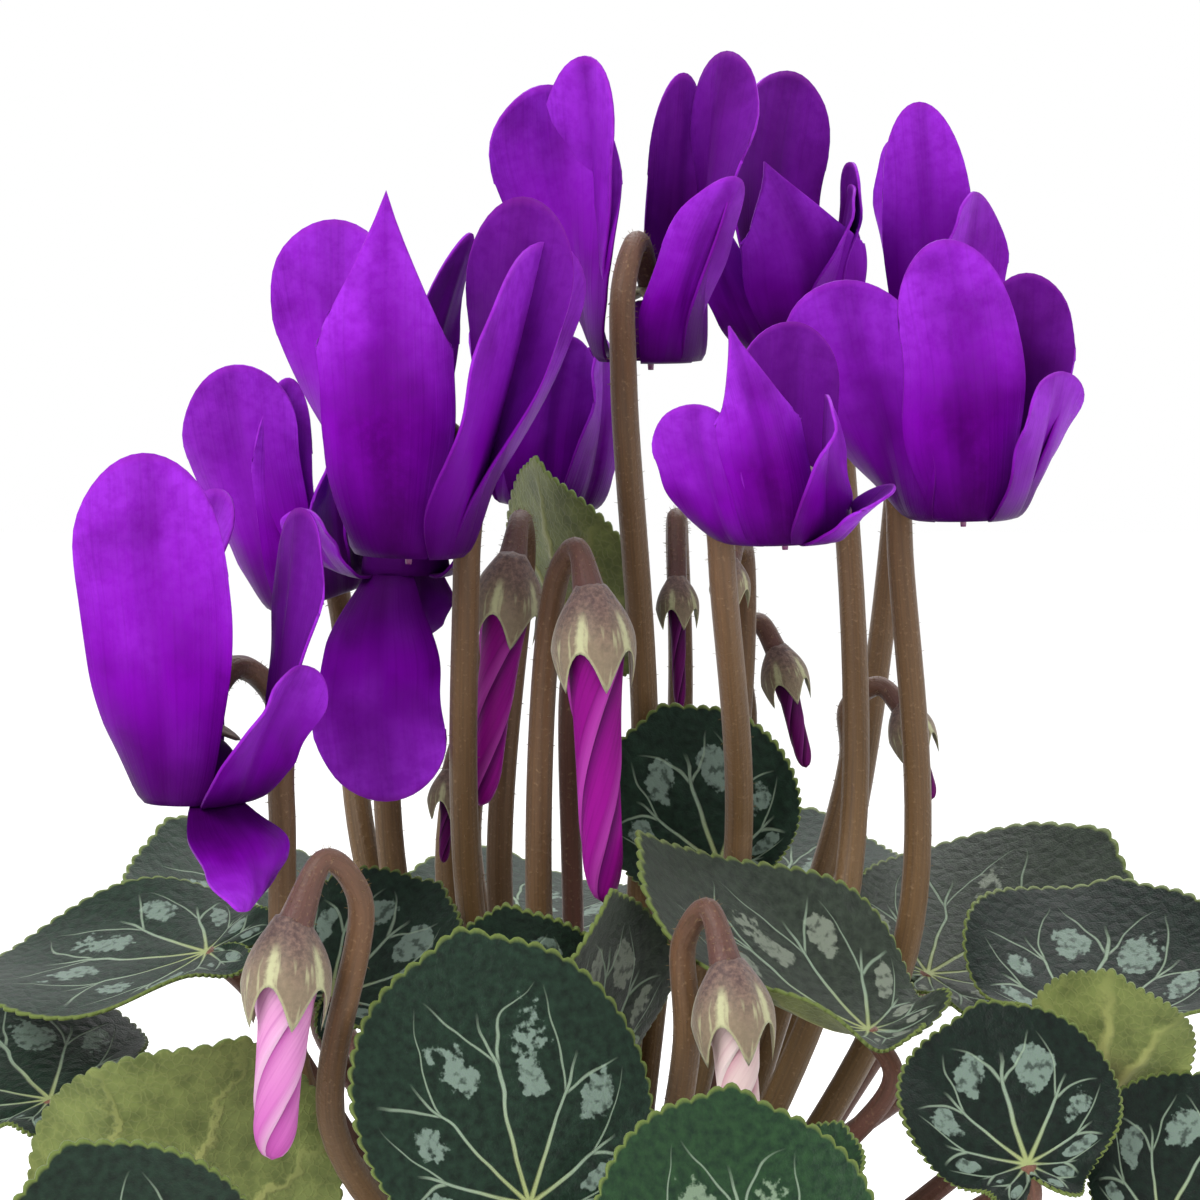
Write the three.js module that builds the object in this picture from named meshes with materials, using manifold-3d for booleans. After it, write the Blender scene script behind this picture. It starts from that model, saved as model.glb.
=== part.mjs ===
// A florist's cyclamen in its pot, millimetres, +Z up, origin at the centre of the pot's flat underside.
// The camera side of the plant is -Y. Every leaf, bloom and bud grows from one half-buried tuber.
import * as THREE from 'three';
import { mergeVertices } from 'three/addons/utils/BufferGeometryUtils.js';
import Module from 'manifold-3d';

const wasm = await Module();
wasm.setup();

// ---- Driving dimensions ----
const POT_HEIGHT = 105;
const POT_TOP_RADIUS = 60;
const POT_BASE_RADIUS = 43;
const POT_WALL = 2.4;
const POT_FLOOR = 3;
const RIM_HEIGHT = 16;
const RIM_RADIUS = 63;
const RIM_STEP = 1;
const RIM_FLARE = 0.6;
const POT_SIDES = 20;
const DRAIN_RADIUS = 4;
const DRAIN_RING = 24;
const DRAIN_COUNT = 4;
const DRAIN_SIDES = 6;
const SOIL_TOP = 93;
const SOIL_MOUND = 2;
const SOIL_CROWN = 8;
const SOIL_CLEARANCE = 0.9;
const GAP = 0.3;
const MERGE_DISTANCE = 1e-4;

const TUBER_RADIUS = 31;
const TUBER_TOP = 101;
const TUBER_SIDES = 12;
const TUBER_DEPTH = 26;
const TUBER_WAIST = 0.86;
const TUBER_WAIST_DEPTH = 0.62;
const STEM_SUNK = 4;
const COLLAR_LEAN = 1.02;
const COLLAR_RISE = 3;
const SOCKET_GAP = 0.35;
const SOCKET_RADIUS = 4.1;
const SOCKET_SIDES = 4;
const SOCKET_LENGTH = 12;
const CROWN_SCALE = 0.36;
const CROWN_ROUNDS = 220;
const CROWN_SPACE = 1.0;

const STEM_SIDES = 5;
const SCAPE_STEPS = [1, 1, 1, 1, 2, 2];
const BUD_STEPS = [1, 2, 1, 2, 2];
const SCAPE_BASE = 2.45;
const SCAPE_TOP = 1.75;
const BUD_SCAPE_TOP = 1.55;
const PETIOLE_BASE = 1.75;
const PETIOLE_TOP = 1.1;
const TWIN_SHIFT = 0.5;
const TWIN_STEP = [1, 0.5, 0.8];
const PETIOLE_STEPS = [1, 1, 1, 1];
const PETIOLE_SIDES = 4;
const PETIOLE_TUCK = 0.1;
const PETIOLE_DROP = 0.3;
const PETIOLE_BACK = 0.22;
const ELBOW_SHARE = 0.55;
const ELBOW_RISE = 0.62;
const ELBOW_CLEARANCE = 7;
const SCAPE_TAPER = 1.3;
const BUD_TAPER = 1.2;

const BLADE_THICKNESS = 0.9;
const BLADE_SIDES = 20;
const BLADE_RINGS = [0.25, 0.62, 1];
const BLADE_OFFSET = 0.68;
const TOOTH_DEPTH = 0.028;
const TOOTH_POWER = 8;
const CUP_POWER = 1.5;
const WAVE_COUNT = 5;
const WAVE_POWER = 3;
const LOBE_SWELL = 0.5;
const LOBE_ANGLE = 0.62;
const LOBE_SPREAD = 0.12;
const TIP_LENGTH = 0.05;
const TIP_ANGLE = 0.1;
const NOTCH_DEPTH = 0.62;
const NOTCH_WIDTH = 0.26;

const PETAL_THICKNESS = 0.8;
const ROUND_COLUMNS = 3;
const POINT_COLUMNS = 4;
const PETAL_ROWS = 3;
const PETAL_ROW_POWER = 1.15;
const MOUTH_RADIUS = 6.4;
const PETAL_BASE_HALF = 3.9;
const PETAL_SPIRAL = -0.2;
const PETAL_SPREAD = 0.42;
const PETAL_ROUND = 0.34;
const PETAL_POINT = 0.42;
const PETAL_BOW = 0.6;
const PETAL_FULLNESS = 0.72;
const POINT_POWER = 1.1;
const LIP_OUT = 1.9;
const LIP_OUT_LENGTH = 1.6;
const LIP_DIP = 2.2;
const LIP_DIP_LENGTH = 1.4;
const FOLD_POWER = 1.6;
const FOLD_GROWTH = 3;
const SPIRAL_GROWTH = 4;
const TUBE_SIDES = 6;
const TUBE_TOP = 8.6;
const TUBE_INSET = 0.7;
const TUBE_OUTSET = 0.6;
const TUBE_LIP = 0.6;
const STYLE_RADIUS = 0.75;
const STYLE_TIP = 0.4;
const STYLE_CLEARANCE = 0.5;
const STYLE_SIDES = 4;
const CALYX_RADIUS = 6.8;
const CALYX_DROP = 3.2;
const CALYX_TOP = 2.8;
const CALYX_MIDDLE = 1.8;
const CALYX_EDGE = 1.2;
const SEPAL_VALLEY = 0.5;
const CUP_TIP = -1.25;
const CUP_TIP_WIDTH = 0.84;
const CUP_BELLY = -0.2;
const CUP_VALLEY = -0.62;
const CUP_VALLEY_WIDTH = 1.08;
const SEPAL_SIDES = 10;
const SEPAL_THICKNESS = 0.8;
const HOOK_HEIGHT = 17.5;
const HOOK_SHOULDER = 6;
const HOOK_FOOT = 3;
const HOOK_END = 2;
const HOOK_CENTRE = 0.2;
const BUD_SIDES = 8;
const BUD_ROWS = 3;
const BUD_NARROW = 0.58;
const BUD_TIP_WIDTH = 0.5;
const BUD_TOP = 0.1;
const BUD_FLUTES = 4;
const BUD_FLUTE_DEPTH = 0.1;
const BUD_WIND = 2.2;
const BUD_NECK = 0.75;
const BUD_SHOULDER = 0.8;
const BUD_SHOULDER_OUT = 0.9;

// A finish is a colour and a roughness.
const FINISHES = {
  pot: [0x8a4a34, 0.7], soil: [0x2b211a, 1], tuber: [0x5a4636, 0.9],
  petal: [0x7a00b8, 0.5], scape: [0x6b4334, 0.6], blade: [0x2a4636, 0.55],
  budDark: [0x6a1a6a, 0.5], budMagenta: [0xa000b0, 0.5], budPink: [0xe493da, 0.5], budPale: [0xf5d5dc, 0.5],
};

// ---- Blooms: mouth, the way the petals rise, stem side, stem waypoint and five petals ----
// A petal is [azimuth, length, width, flare, lean, twist, cup, point], in millimetres and degrees.
const BLOOMS = [
  {
    name: 'a', mouth: [-27.4, -26, 219.5], rise: [0.03, 0, 1], stemSide: 50, standoff: 12.5,
    way: [-19.5, -5, 165],
    petals: [
      [175, 49.6, 21.9, 5, -5, -93, -0.02, 0],
      [-105, 54.9, 19.8, 11, 1.4, -12, -0.23, 1],
      [-23, 48.2, 30, 11, 6.5, 20, 0.11, 0],
      [-13, 53.9, 18.1, 7, 2.2, -93, 0.22, 0],
      [97, 48.1, 9.5, 4, -8.7, -46, 0.16, 0],
    ],
  },
  {
    name: 'b', mouth: [7.6, 2, 246], rise: [0, 0, 1], stemSide: -110, standoff: 12,
    way: [7, 17, 178],
    petals: [
      [176, 43.5, 21.1, 9, 1.8, -114, 0.18, 0],
      [173, 47, 15.8, 1, 7.3, -51, 0.21, 0],
      [65, 44.9, 9.3, -1, -1.9, -40, 0.1, 0],
      [-23, 48, 15.3, 1, 7.8, -66, 0.16, 0],
      [-69, 29.7, 12.5, 8, 8, -2, -0.35, 0],
    ],
  },
  {
    name: 'c', mouth: [31.5, 34, 246], rise: [-0.02, 0.05, 1], stemSide: 55, standoff: 11.2,
    way: [36.5, -2, 162],
    petals: [
      [-76, 32, 21.3, 15, -10.2, 1, -0.02, 1],
      [-52, 27.8, 17.1, 6, 1.3, -48, 0.08, 0],
      [-21, 31.3, 14.6, 2, -2, -27, -0.06, 0],
      [132, 47, 21.4, 2, -7.9, 20, -0.17, 0],
      [-135, 27.6, 9, 27, -0.8, -86, -0.08, 0],
    ],
  },
  {
    name: 'd', mouth: [56, 50, 240], rise: [0, 0.03, 1], stemSide: 122, standoff: 11.5,
    way: [39, 45, 160],
    petals: [
      [-109, 47, 13.6, 3, -2, -12, 0.05, 0],
      [161, 41.5, 9, 1, 0.2, -60, 0.02, 0],
      [-84, 33.6, 16.5, 14, 1.2, -48, 0.14, 0],
      [15, 18.8, 10, 3, 0.3, -39, 0.11, 0],
      [68, 33.5, 9.8, 3, 0.4, -41, 0.1, 0],
    ],
  },
  {
    name: 'e', mouth: [54, -4, 223], rise: [-0.02, 0, 1], stemSide: 138, standoff: 12,
    way: [46.5, 4, 156],
    petals: [
      [-166, 38.8, 22.1, 14, -0.2, -71, 0.14, 0],
      [-88, 43.7, 18, 6, -3.7, 3, 0.06, 0],
      [-28, 24.8, 18.6, 17, 0, 20, -0.01, 0],
      [5, 38, 15.5, 3, 2.3, -66, 0.1, 0],
      [85, 38, 11.9, 8, 0, -40, 0.09, 0],
    ],
  },
  {
    name: 'f', mouth: [26, -36, 222.5], rise: [-0.04, 0, 1], stemSide: 146, standoff: 10.6,
    way: [20.5, -1, 168],
    petals: [
      [-151, 23.6, 13.7, 20, 3.9, -33, 0.02, 0],
      [-96, 33.8, 12.8, 13, -5.6, -33, -0.2, 1],
      [-47, 22.7, 16.2, 4, -0.8, -38, 0.15, 0],
      [-42, 11, 11.6, 31, 7.4, -48, -0.29, 0],
      [88, 32.4, 15.9, 6, -1.8, -4, 0.08, 0],
    ],
  },
  {
    name: 'g', mouth: [-56.6, -38, 186], rise: [-0.03, 0, 1], stemSide: 52, standoff: 17,
    way: [-42.5, -30, 141],
    petals: [
      [-119, 51.7, 21.8, 2, 0, -31, -0.02, 0],
      [112, 44.9, 16, 5, -8, -113, -0.05, 0],
      [-2, 43.4, 11.3, 10, 0.8, -46, 0.05, 0],
      [-46, 22.5, 16.6, 19, 6.3, -9, 0.31, 0],
      [-60, 24, 18.8, 111, -7, -43, -0.16, 0],
    ],
  },
  {
    name: 'h', mouth: [-44, 26, 208], rise: [-0.3, 0, 1], stemSide: 80, standoff: 10.6,
    way: [-36, 14, 168],
    petals: [
      [-142, 40.8, 19.6, 1, 7.9, -35, -0.17, 0],
      [-104, 36.4, 9.5, -2, 7.8, -28, 0.02, 0],
      [-54, 27.6, 21.2, 13, 2.2, -36, 0.2, 0],
      [6, 30, 13.6, 10, 0, -40, 0.1, 0],
      [137, 27.1, 9, 3, -0.5, -46, 0.07, 0],
    ],
  },
  {
    name: 'i', mouth: [-8.6, 38, 221.5], rise: [0.08, 0, 1], stemSide: 110, standoff: 10.6,
    way: [-24, 28, 165],
    petals: [
      [-89, 30.1, 15.3, 10, 1.1, -35, 0.07, 0],
      [-51, 31.9, 12.4, 18, -6.5, -27, 0.1, 0],
      [63, 27.6, 11.1, 10, 0.1, -39, 0.1, 0],
      [161, 33.2, 14.5, 8, -0.3, -32, 0.07, 0],
      [-153, 33, 11.3, 1, 0.8, -36, 0.07, 0],
    ],
  },
  {
    name: 'j', mouth: [-29.5, 2, 214], rise: [0, 0, 1], stemSide: 105, standoff: 12,
    way: [-31, 8, 163],
    petals: [
      [-110, 31, 19.2, 170, 2.8, -15, -0.08, 0],
      [-16, 22.4, 10.1, 7, -0.1, -34, 0.12, 0],
      [70, 10.1, 9, 177, 3.1, -72, 0.07, 0],
      [151, 22, 12.1, 4, 0.1, -41, 0.1, 0],
      [-166, 13.9, 12, 30, 0, -20, 0.12, 0],
    ],
  },
];

// ---- Buds: top of the hook, calyx centre, corolla tip, calyx radius, colour and stem waypoints ----
const BUDS = [
  { name: 'k', hook: [-37.2, -61, 181], calyx: [-42.4, -63, 166], tip: [-44.4, -66, 140.7],
    radius: 6.2, colour: 'budPink', way: [[-37, -54, 142.5]] },
  { name: 'l', hook: [-12, 0, 222], calyx: [-13.8, -6, 211], tip: [-18, -2, 179],
    radius: 5.5, colour: 'budMagenta', way: [[-15.2, 6, 162]] },
  { name: 'm', hook: [-3.4, -18, 219.5], calyx: [-1, -22.5, 207], tip: [0.6, -22.5, 168],
    radius: 6.2, colour: 'budMagenta', way: [[-8.8, -14, 158.5]] },
  { name: 'n', hook: [15, -49, 172], calyx: [18.3, -53, 158.5], tip: [19.6, -55, 142],
    radius: 5.9, colour: 'budPale', way: [[12.2, -44, 152]] },
  { name: 'o', hook: [12, 26, 220], calyx: [12, 20.5, 207.5], tip: [12.4, 19.5, 190.8],
    radius: 3.4, colour: 'budDark', way: [[12.5, 29, 185]] },
  { name: 'p', hook: [21, 16, 217.5], calyx: [19.8, 10.5, 211.5], tip: [20, 10, 200],
    radius: 3.2, colour: 'budDark', way: [[21.5, 18, 190]] },
  { name: 'q', hook: [25, 33, 203], calyx: [29, 31, 195], tip: [32.7, 31, 180],
    radius: 3.9, colour: 'budDark', way: [[23, 34, 187]] },
  { name: 'r', hook: [44.6, 37, 192.3], calyx: [49.5, 35, 185.6], tip: [52.9, 35, 174.2],
    radius: 3.9, colour: 'budDark', way: [[40.2, 38, 180]] },
  { name: 's', hook: [-21.5, 18, 186], calyx: [-23.4, 13, 178.5], tip: [-24.1, 12, 168],
    radius: 3.2, colour: 'budDark', way: [[-20.4, 20, 168]] },
];

// ---- Leaves: junction, tip direction, upper face direction, half width, length, cup, roll, wave ----
const LEAVES = {
  l01: [[-56.9, -26, 161.3], [-0.93, 0.3, -0.2], [-0.14, -0.24, 0.96], 20.8, 1, 0.08, 0.06, 0.06],
  l02: [[-78.5, -36.4, 141.9], [-0.53, 0.83, 0.19], [-0.02, -0.37, 0.93], 19.8, 0.98, 0.07, -0.03, 0.08],
  l03: [[-62.9, -50.2, 120], [0.39, -0.26, 0.88], [-0.12, 0.94, 0.33], 21.8, 0.98, 0.11, 0.06, 0.1],
  l04: [[-58.2, -77.5, 119.2], [-0.39, -0.11, 0.92], [-0.19, -0.7, 0.69], 18, 1.01, 0.21, -0.03, 0.12],
  l05: [[-9.6, -66.7, 134.6], [-0.27, 0.44, 0.86], [0.18, -0.81, 0.55], 21, 1.06, 0.06, -0.01, 0.05],
  l06: [[-9.2, -20, 148.1], [-0.2, -0.2, 0.96], [-0.14, -0.94, 0.32], 12.5, 0.99, 0.09, -0.01, 0.1],
  l07: [[-2.9, 20.6, 201.7], [-0.46, -0.3, 0.83], [0.81, 0.53, 0.25], 15.6, 1.03, 0.25, -0.01, 0.08],
  l08: [[18.3, 6, 168.7], [-0.31, 0.17, 0.94], [-0.41, -0.89, 0.23], 16.5, 0.89, 0.08, -0.03, 0.05],
  l09: [[38.7, -30.6, 150.8], [-0.92, 0.36, 0.15], [0.06, -0.19, 0.98], 19.9, 1.08, 0.44, 0.05, 0.1],
  l10: [[-0.3, -36, 146.2], [0.02, -0.11, 0.99], [0.74, -0.53, 0.41], 14.9, 1.03, 0.06, 0.02, 0.1],
  l11: [[51.4, 21.9, 148.5], [0.71, 0.69, 0.12], [0.04, -0.4, 0.91], 23.5, 0.98, 0.24, -0.08, 0.08],
  l12: [[72.8, -9.8, 147.7], [0.21, 0.95, 0.23], [0.04, -0.37, 0.93], 20.8, 0.9, 0.21, 0.01, 0.08],
  l13: [[72.6, -28.9, 140.4], [-0.04, -0.47, 0.88], [0.26, 0.77, 0.59], 12.3, 0.93, 0.18, 0.04, 0.1],
  l14: [[59.4, -51.9, 136.4], [-0.23, 0.65, 0.73], [0.13, -0.9, 0.42], 16, 0.88, 0.08, 0.03, 0.08],
  l15: [[78.5, -48.9, 126.2], [0.47, 0.66, 0.58], [0.09, -0.83, 0.56], 15, 1.06, 0.09, 0, 0.08],
  l16: [[17.9, -83.2, 119.5], [-0.04, 0.61, 0.79], [0.2, -0.55, 0.81], 19.7, 1.02, 0.15, -0.01, 0.07],
  l17: [[25.4, -63.7, 130.6], [0.58, 0.43, 0.69], [-0.36, -0.3, 0.88], 8.9, 1.03, 0.13, 0, 0.1],
  l18: [[-39.7, -15.6, 152.8], [0.67, 0.48, 0.56], [0.23, -0.45, 0.86], 13.4, 1.01, 0.12, 0, 0.1],
  b01: [[-48, 44, 150], [-0.6, 0.6, 0.2], [-0.2, 0.1, 0.95], 21, 1, 0.12, 0, 0.1],
  b02: [[-12, 62, 146], [-0.15, 0.9, 0.05], [0, 0.15, 0.95], 22, 1, 0.12, 0, 0.1],
  b03: [[26, 60, 152], [0.3, 0.9, 0.1], [0, 0.1, 0.98], 21, 1, 0.12, 0, 0.1],
  b04: [[62, 40, 140], [0.8, 0.5, 0.1], [0.1, 0, 0.98], 20, 1, 0.12, 0, 0.1],
  b05: [[-76, 6, 134], [-0.9, 0.3, 0.05], [-0.2, 0, 0.95], 18, 1, 0.1, 0, 0.1],
};

// Nodes of one leaf each, and of two leaves whose stalks part just above the tuber.
const LEAF_NODES = [
  ['l01'], ['l02'], ['l03'], ['l04'], ['l05'], ['l06'], ['l08'], ['l09'], ['l10'], ['l11'], ['l12'], ['l13'],
  ['l14'], ['l15'], ['l18'], ['l16', 'l17'], ['b01', 'b05'], ['b02', 'l07'], ['b03', 'b04'],
];

const UP = new THREE.Vector3(0, 0, 1);
const vector = (values) => new THREE.Vector3(values[0], values[1], values[2]);
const radians = THREE.MathUtils.degToRad;
const mix = THREE.MathUtils.lerp;

// ---- Solids ----
function toSolid(geometry) {
  const bare = geometry.clone();
  bare.deleteAttribute('normal');
  bare.deleteAttribute('uv');
  const merged = mergeVertices(bare, MERGE_DISTANCE);
  return new wasm.Manifold(new wasm.Mesh({
    numProp: 3,
    vertProperties: new Float32Array(merged.attributes.position.array),
    triVerts: new Uint32Array(merged.index.array),
  }));
}

function toGeometry(solid) {
  const mesh = solid.getMesh();
  const geometry = new THREE.BufferGeometry();
  geometry.setAttribute('position', new THREE.BufferAttribute(new Float32Array(mesh.vertProperties), 3));
  geometry.setIndex(new THREE.BufferAttribute(new Uint32Array(mesh.triVerts), 1));
  return geometry;
}

function join(solids) {
  return solids.reduce((whole, solid) => whole.add(solid));
}

// Gives an open sheet its thickness: both faces are split alike and a band closes every open edge.
function thicken(sheet, thickness) {
  const merged = mergeVertices(sheet, MERGE_DISTANCE);
  merged.deleteAttribute('normal');
  merged.computeVertexNormals();
  const place = merged.attributes.position;
  const normal = merged.attributes.normal;
  const index = Array.from(merged.index.array);
  const count = place.count;
  const points = [];
  for (const side of [0.5, -0.5]) {
    for (let i = 0; i < count; i += 1) {
      const shift = side * thickness;
      points.push(place.getX(i) + normal.getX(i) * shift);
      points.push(place.getY(i) + normal.getY(i) * shift);
      points.push(place.getZ(i) + normal.getZ(i) * shift);
    }
  }
  const edges = new Set();
  for (let i = 0; i < index.length; i += 3) {
    for (let k = 0; k < 3; k += 1) {
      edges.add(`${index[i + k]} ${index[i + (k + 1) % 3]}`);
    }
  }
  const faces = [...index];
  for (let i = 0; i < index.length; i += 3) {
    faces.push(index[i] + count, index[i + 2] + count, index[i + 1] + count);
  }
  for (const edge of edges) {
    const [from, to] = edge.split(' ').map(Number);
    if (!edges.has(`${to} ${from}`)) {
      faces.push(to, from, from + count, to, from + count, to + count);
    }
  }
  const solid = new THREE.BufferGeometry();
  solid.setAttribute('position', new THREE.Float32BufferAttribute(points, 3));
  solid.setIndex(faces);
  return solid;
}

// A round stem of changing radius: a cylinder bent along a curve, its rings carried without twisting.
function stem(points, radii, stretches, sides) {
  const curve = new THREE.CatmullRomCurve3(points, false, 'centripetal');
  const stations = [0];
  stretches.forEach((steps, stretch) => {
    for (let i = 1; i <= steps; i += 1) {
      stations.push((stretch + i / steps) / stretches.length);
    }
  });
  const steps = stations.length - 1;
  const shape = new THREE.CylinderGeometry(1, 1, 1, sides, steps);
  const rings = [];
  let across = new THREE.Vector3(1, 0, 0);
  for (const at of stations) {
    const along = curve.getTangent(at);
    across = across.clone().addScaledVector(along, -across.dot(along)).normalize();
    rings.push({ centre: curve.getPoint(at), across, side: along.clone().cross(across), radius: radii(at) });
  }
  const place = shape.attributes.position;
  for (let i = 0; i < place.count; i += 1) {
    const ring = rings[Math.round((place.getY(i) + 0.5) * steps)];
    const spot = ring.centre.clone();
    spot.addScaledVector(ring.across, place.getZ(i) * ring.radius);
    spot.addScaledVector(ring.side, place.getX(i) * ring.radius);
    place.setXYZ(i, spot.x, spot.y, spot.z);
  }
  return shape;
}

// A turned shape whose axis runs from an origin along a direction.
function turned(profile, sides, origin, direction) {
  const points = profile.map(([radius, height]) => new THREE.Vector2(radius, height));
  const shape = new THREE.LatheGeometry(points, sides);
  shape.applyQuaternion(new THREE.Quaternion().setFromUnitVectors(new THREE.Vector3(0, 1, 0), direction));
  shape.translate(origin.x, origin.y, origin.z);
  return shape;
}

// ---- Stalk bases: they start under their tops and are pushed apart until all have room ----
function tuberHeight(x, y) {
  const reach = Math.min(1, Math.hypot(x, y) / TUBER_RADIUS);
  return TUBER_TOP - (TUBER_TOP - SOIL_TOP - SOIL_MOUND) * reach * reach;
}

function crownSpots(targets) {
  const spots = targets.map(([x, y]) => [x * CROWN_SCALE, y * CROWN_SCALE]);
  const space = 2 * SCAPE_BASE + CROWN_SPACE;
  for (let round = 0; round < CROWN_ROUNDS; round += 1) {
    for (let i = 0; i < spots.length; i += 1) {
      for (let j = 0; j < i; j += 1) {
        const dx = spots[i][0] - spots[j][0];
        const dy = spots[i][1] - spots[j][1];
        const apart = Math.hypot(dx, dy);
        if (apart < space) {
          const push = (space - apart) / (2 * apart);
          spots[i][0] += dx * push;
          spots[i][1] += dy * push;
          spots[j][0] -= dx * push;
          spots[j][1] -= dy * push;
        }
      }
    }
  }
  return spots.map(([x, y]) => new THREE.Vector3(x, y, tuberHeight(x, y) - STEM_SUNK));
}

// A stalk rises straight out of its socket before it leans.
function collar(base) {
  return new THREE.Vector3(base.x * COLLAR_LEAN, base.y * COLLAR_LEAN, base.z + STEM_SUNK + COLLAR_RISE);
}

// ---- Leaves ----
function leafFrame([junction, tip, face, half, long, cup, roll, wave]) {
  const along = vector(tip).normalize();
  const normal = vector(face).addScaledVector(along, -vector(face).dot(along)).normalize();
  const across = normal.clone().cross(along);
  return { junction: vector(junction), along, normal, across, half, long, cup, roll, wave };
}

// Distance from the stalk to the heart-shaped edge, with the notch behind the stalk and the small tip.
function leafEdge(leaf, angle) {
  const disc = BLADE_OFFSET * Math.cos(angle) + Math.sqrt(1 - (BLADE_OFFSET * Math.sin(angle)) ** 2);
  const back = (Math.PI - Math.abs(angle)) / NOTCH_WIDTH;
  const lobe = 1 + LOBE_SWELL * Math.exp(-((Math.PI - Math.abs(angle) - LOBE_ANGLE) ** 2) / LOBE_SPREAD);
  const notch = 1 - NOTCH_DEPTH * Math.exp(-back * back);
  const tip = 1 + TIP_LENGTH * Math.exp(-((angle / TIP_ANGLE) ** 2));
  return leaf.half * disc * lobe * notch * tip;
}

function leafPoint(leaf, reach, angle, teeth) {
  const tooth = 1 + TOOTH_DEPTH * teeth * reach ** TOOTH_POWER;
  const distance = leafEdge(leaf, angle) * reach * tooth;
  const along = distance * Math.cos(angle) * leaf.long;
  const across = distance * Math.sin(angle);
  const far = distance / leaf.half;
  const lift = leaf.half * (leaf.cup * far ** CUP_POWER + leaf.roll * (across / leaf.half) ** 2);
  const wave = leaf.half * leaf.wave * reach ** WAVE_POWER * Math.sin(WAVE_COUNT * angle + leaf.junction.x);
  const spot = leaf.junction.clone();
  spot.addScaledVector(leaf.along, along);
  spot.addScaledVector(leaf.across, across);
  return spot.addScaledVector(leaf.normal, lift + wave);
}

// A disc whose rings double their points outwards, so that few faces meet at the stalk.
function ringedDisc() {
  const points = [0, 0, 0];
  const faces = [];
  let first = 1;
  let count = BLADE_SIDES / 2 ** (BLADE_RINGS.length - 1);
  BLADE_RINGS.forEach((radius, ring) => {
    for (let i = 0; i < count; i += 1) {
      const angle = 2 * Math.PI * i / count;
      points.push(radius * Math.cos(angle), radius * Math.sin(angle), 0);
      const next = first + (i + 1) % count;
      if (ring === 0) {
        faces.push(0, first + i, next);
      } else if (i % 2 === 0) {
        const inner = first - count / 2 + i / 2;
        const innerNext = first - count / 2 + (i / 2 + 1) % (count / 2);
        const last = first + (i + 2) % count;
        faces.push(inner, first + i, next, inner, next, innerNext, innerNext, next, last);
      }
    }
    first += count;
    count *= 2;
  });
  const disc = new THREE.BufferGeometry();
  disc.setAttribute('position', new THREE.Float32BufferAttribute(points, 3));
  disc.setIndex(faces);
  return disc;
}

function blade(leaf) {
  const sheet = ringedDisc();
  const place = sheet.attributes.position;
  for (let i = 0; i < place.count; i += 1) {
    const reach = Math.hypot(place.getX(i), place.getY(i));
    const angle = Math.atan2(place.getY(i), place.getX(i));
    const spot = leafPoint(leaf, reach, angle, Math.cos(0.5 * BLADE_SIDES * angle));
    place.setXYZ(i, spot.x, spot.y, spot.z);
  }
  return thicken(sheet, BLADE_THICKNESS);
}

function petiole(leaf, base) {
  const top = leaf.junction.clone().addScaledVector(leaf.normal, -PETIOLE_TUCK);
  const below = leaf.junction.clone().addScaledVector(leaf.normal, -PETIOLE_DROP * leaf.half);
  below.addScaledVector(leaf.along, -PETIOLE_BACK * leaf.half);
  const elbow = base.clone().lerp(below, ELBOW_SHARE);
  elbow.z = Math.max(mix(base.z, below.z, ELBOW_RISE), POT_HEIGHT + ELBOW_CLEARANCE);
  const path = [base, collar(base), elbow, below, top];
  return stem(path, (at) => mix(PETIOLE_BASE, PETIOLE_TOP, at), PETIOLE_STEPS, PETIOLE_SIDES);
}

// One leaf, or two whose stalks start a little apart in one socket and are fused where they overlap.
function leafNode(names, base) {
  const solids = names.flatMap((name, i) => {
    const leaf = leafFrame(LEAVES[name]);
    const root = base.clone().addScaledVector(vector(TWIN_STEP), TWIN_SHIFT * i);
    return [toSolid(blade(leaf)), toSolid(petiole(leaf, root))];
  });
  return join(solids);
}

// ---- Blooms ----
function bloomFrame(bloom) {
  const up = vector(bloom.rise).normalize();
  const right = new THREE.Vector3(1, 0, 0).addScaledVector(up, -up.x).normalize();
  return { ...bloom, mouth: vector(bloom.mouth), up, right, back: up.clone().cross(right) };
}

function bloomPoint(bloom, azimuth, radius, height) {
  const spot = bloom.mouth.clone();
  spot.addScaledVector(bloom.right, radius * Math.cos(azimuth));
  spot.addScaledVector(bloom.back, radius * Math.sin(azimuth));
  return spot.addScaledVector(bloom.up, height);
}

// Half width at a share of the length: narrow at the mouth and full from past its spread.
function petalHalf(width, share) {
  const grown = Math.sin(0.5 * Math.PI * Math.min(1, share / PETAL_SPREAD)) ** PETAL_FULLNESS;
  return mix(PETAL_BASE_HALF, 0.5 * width, grown);
}

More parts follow.
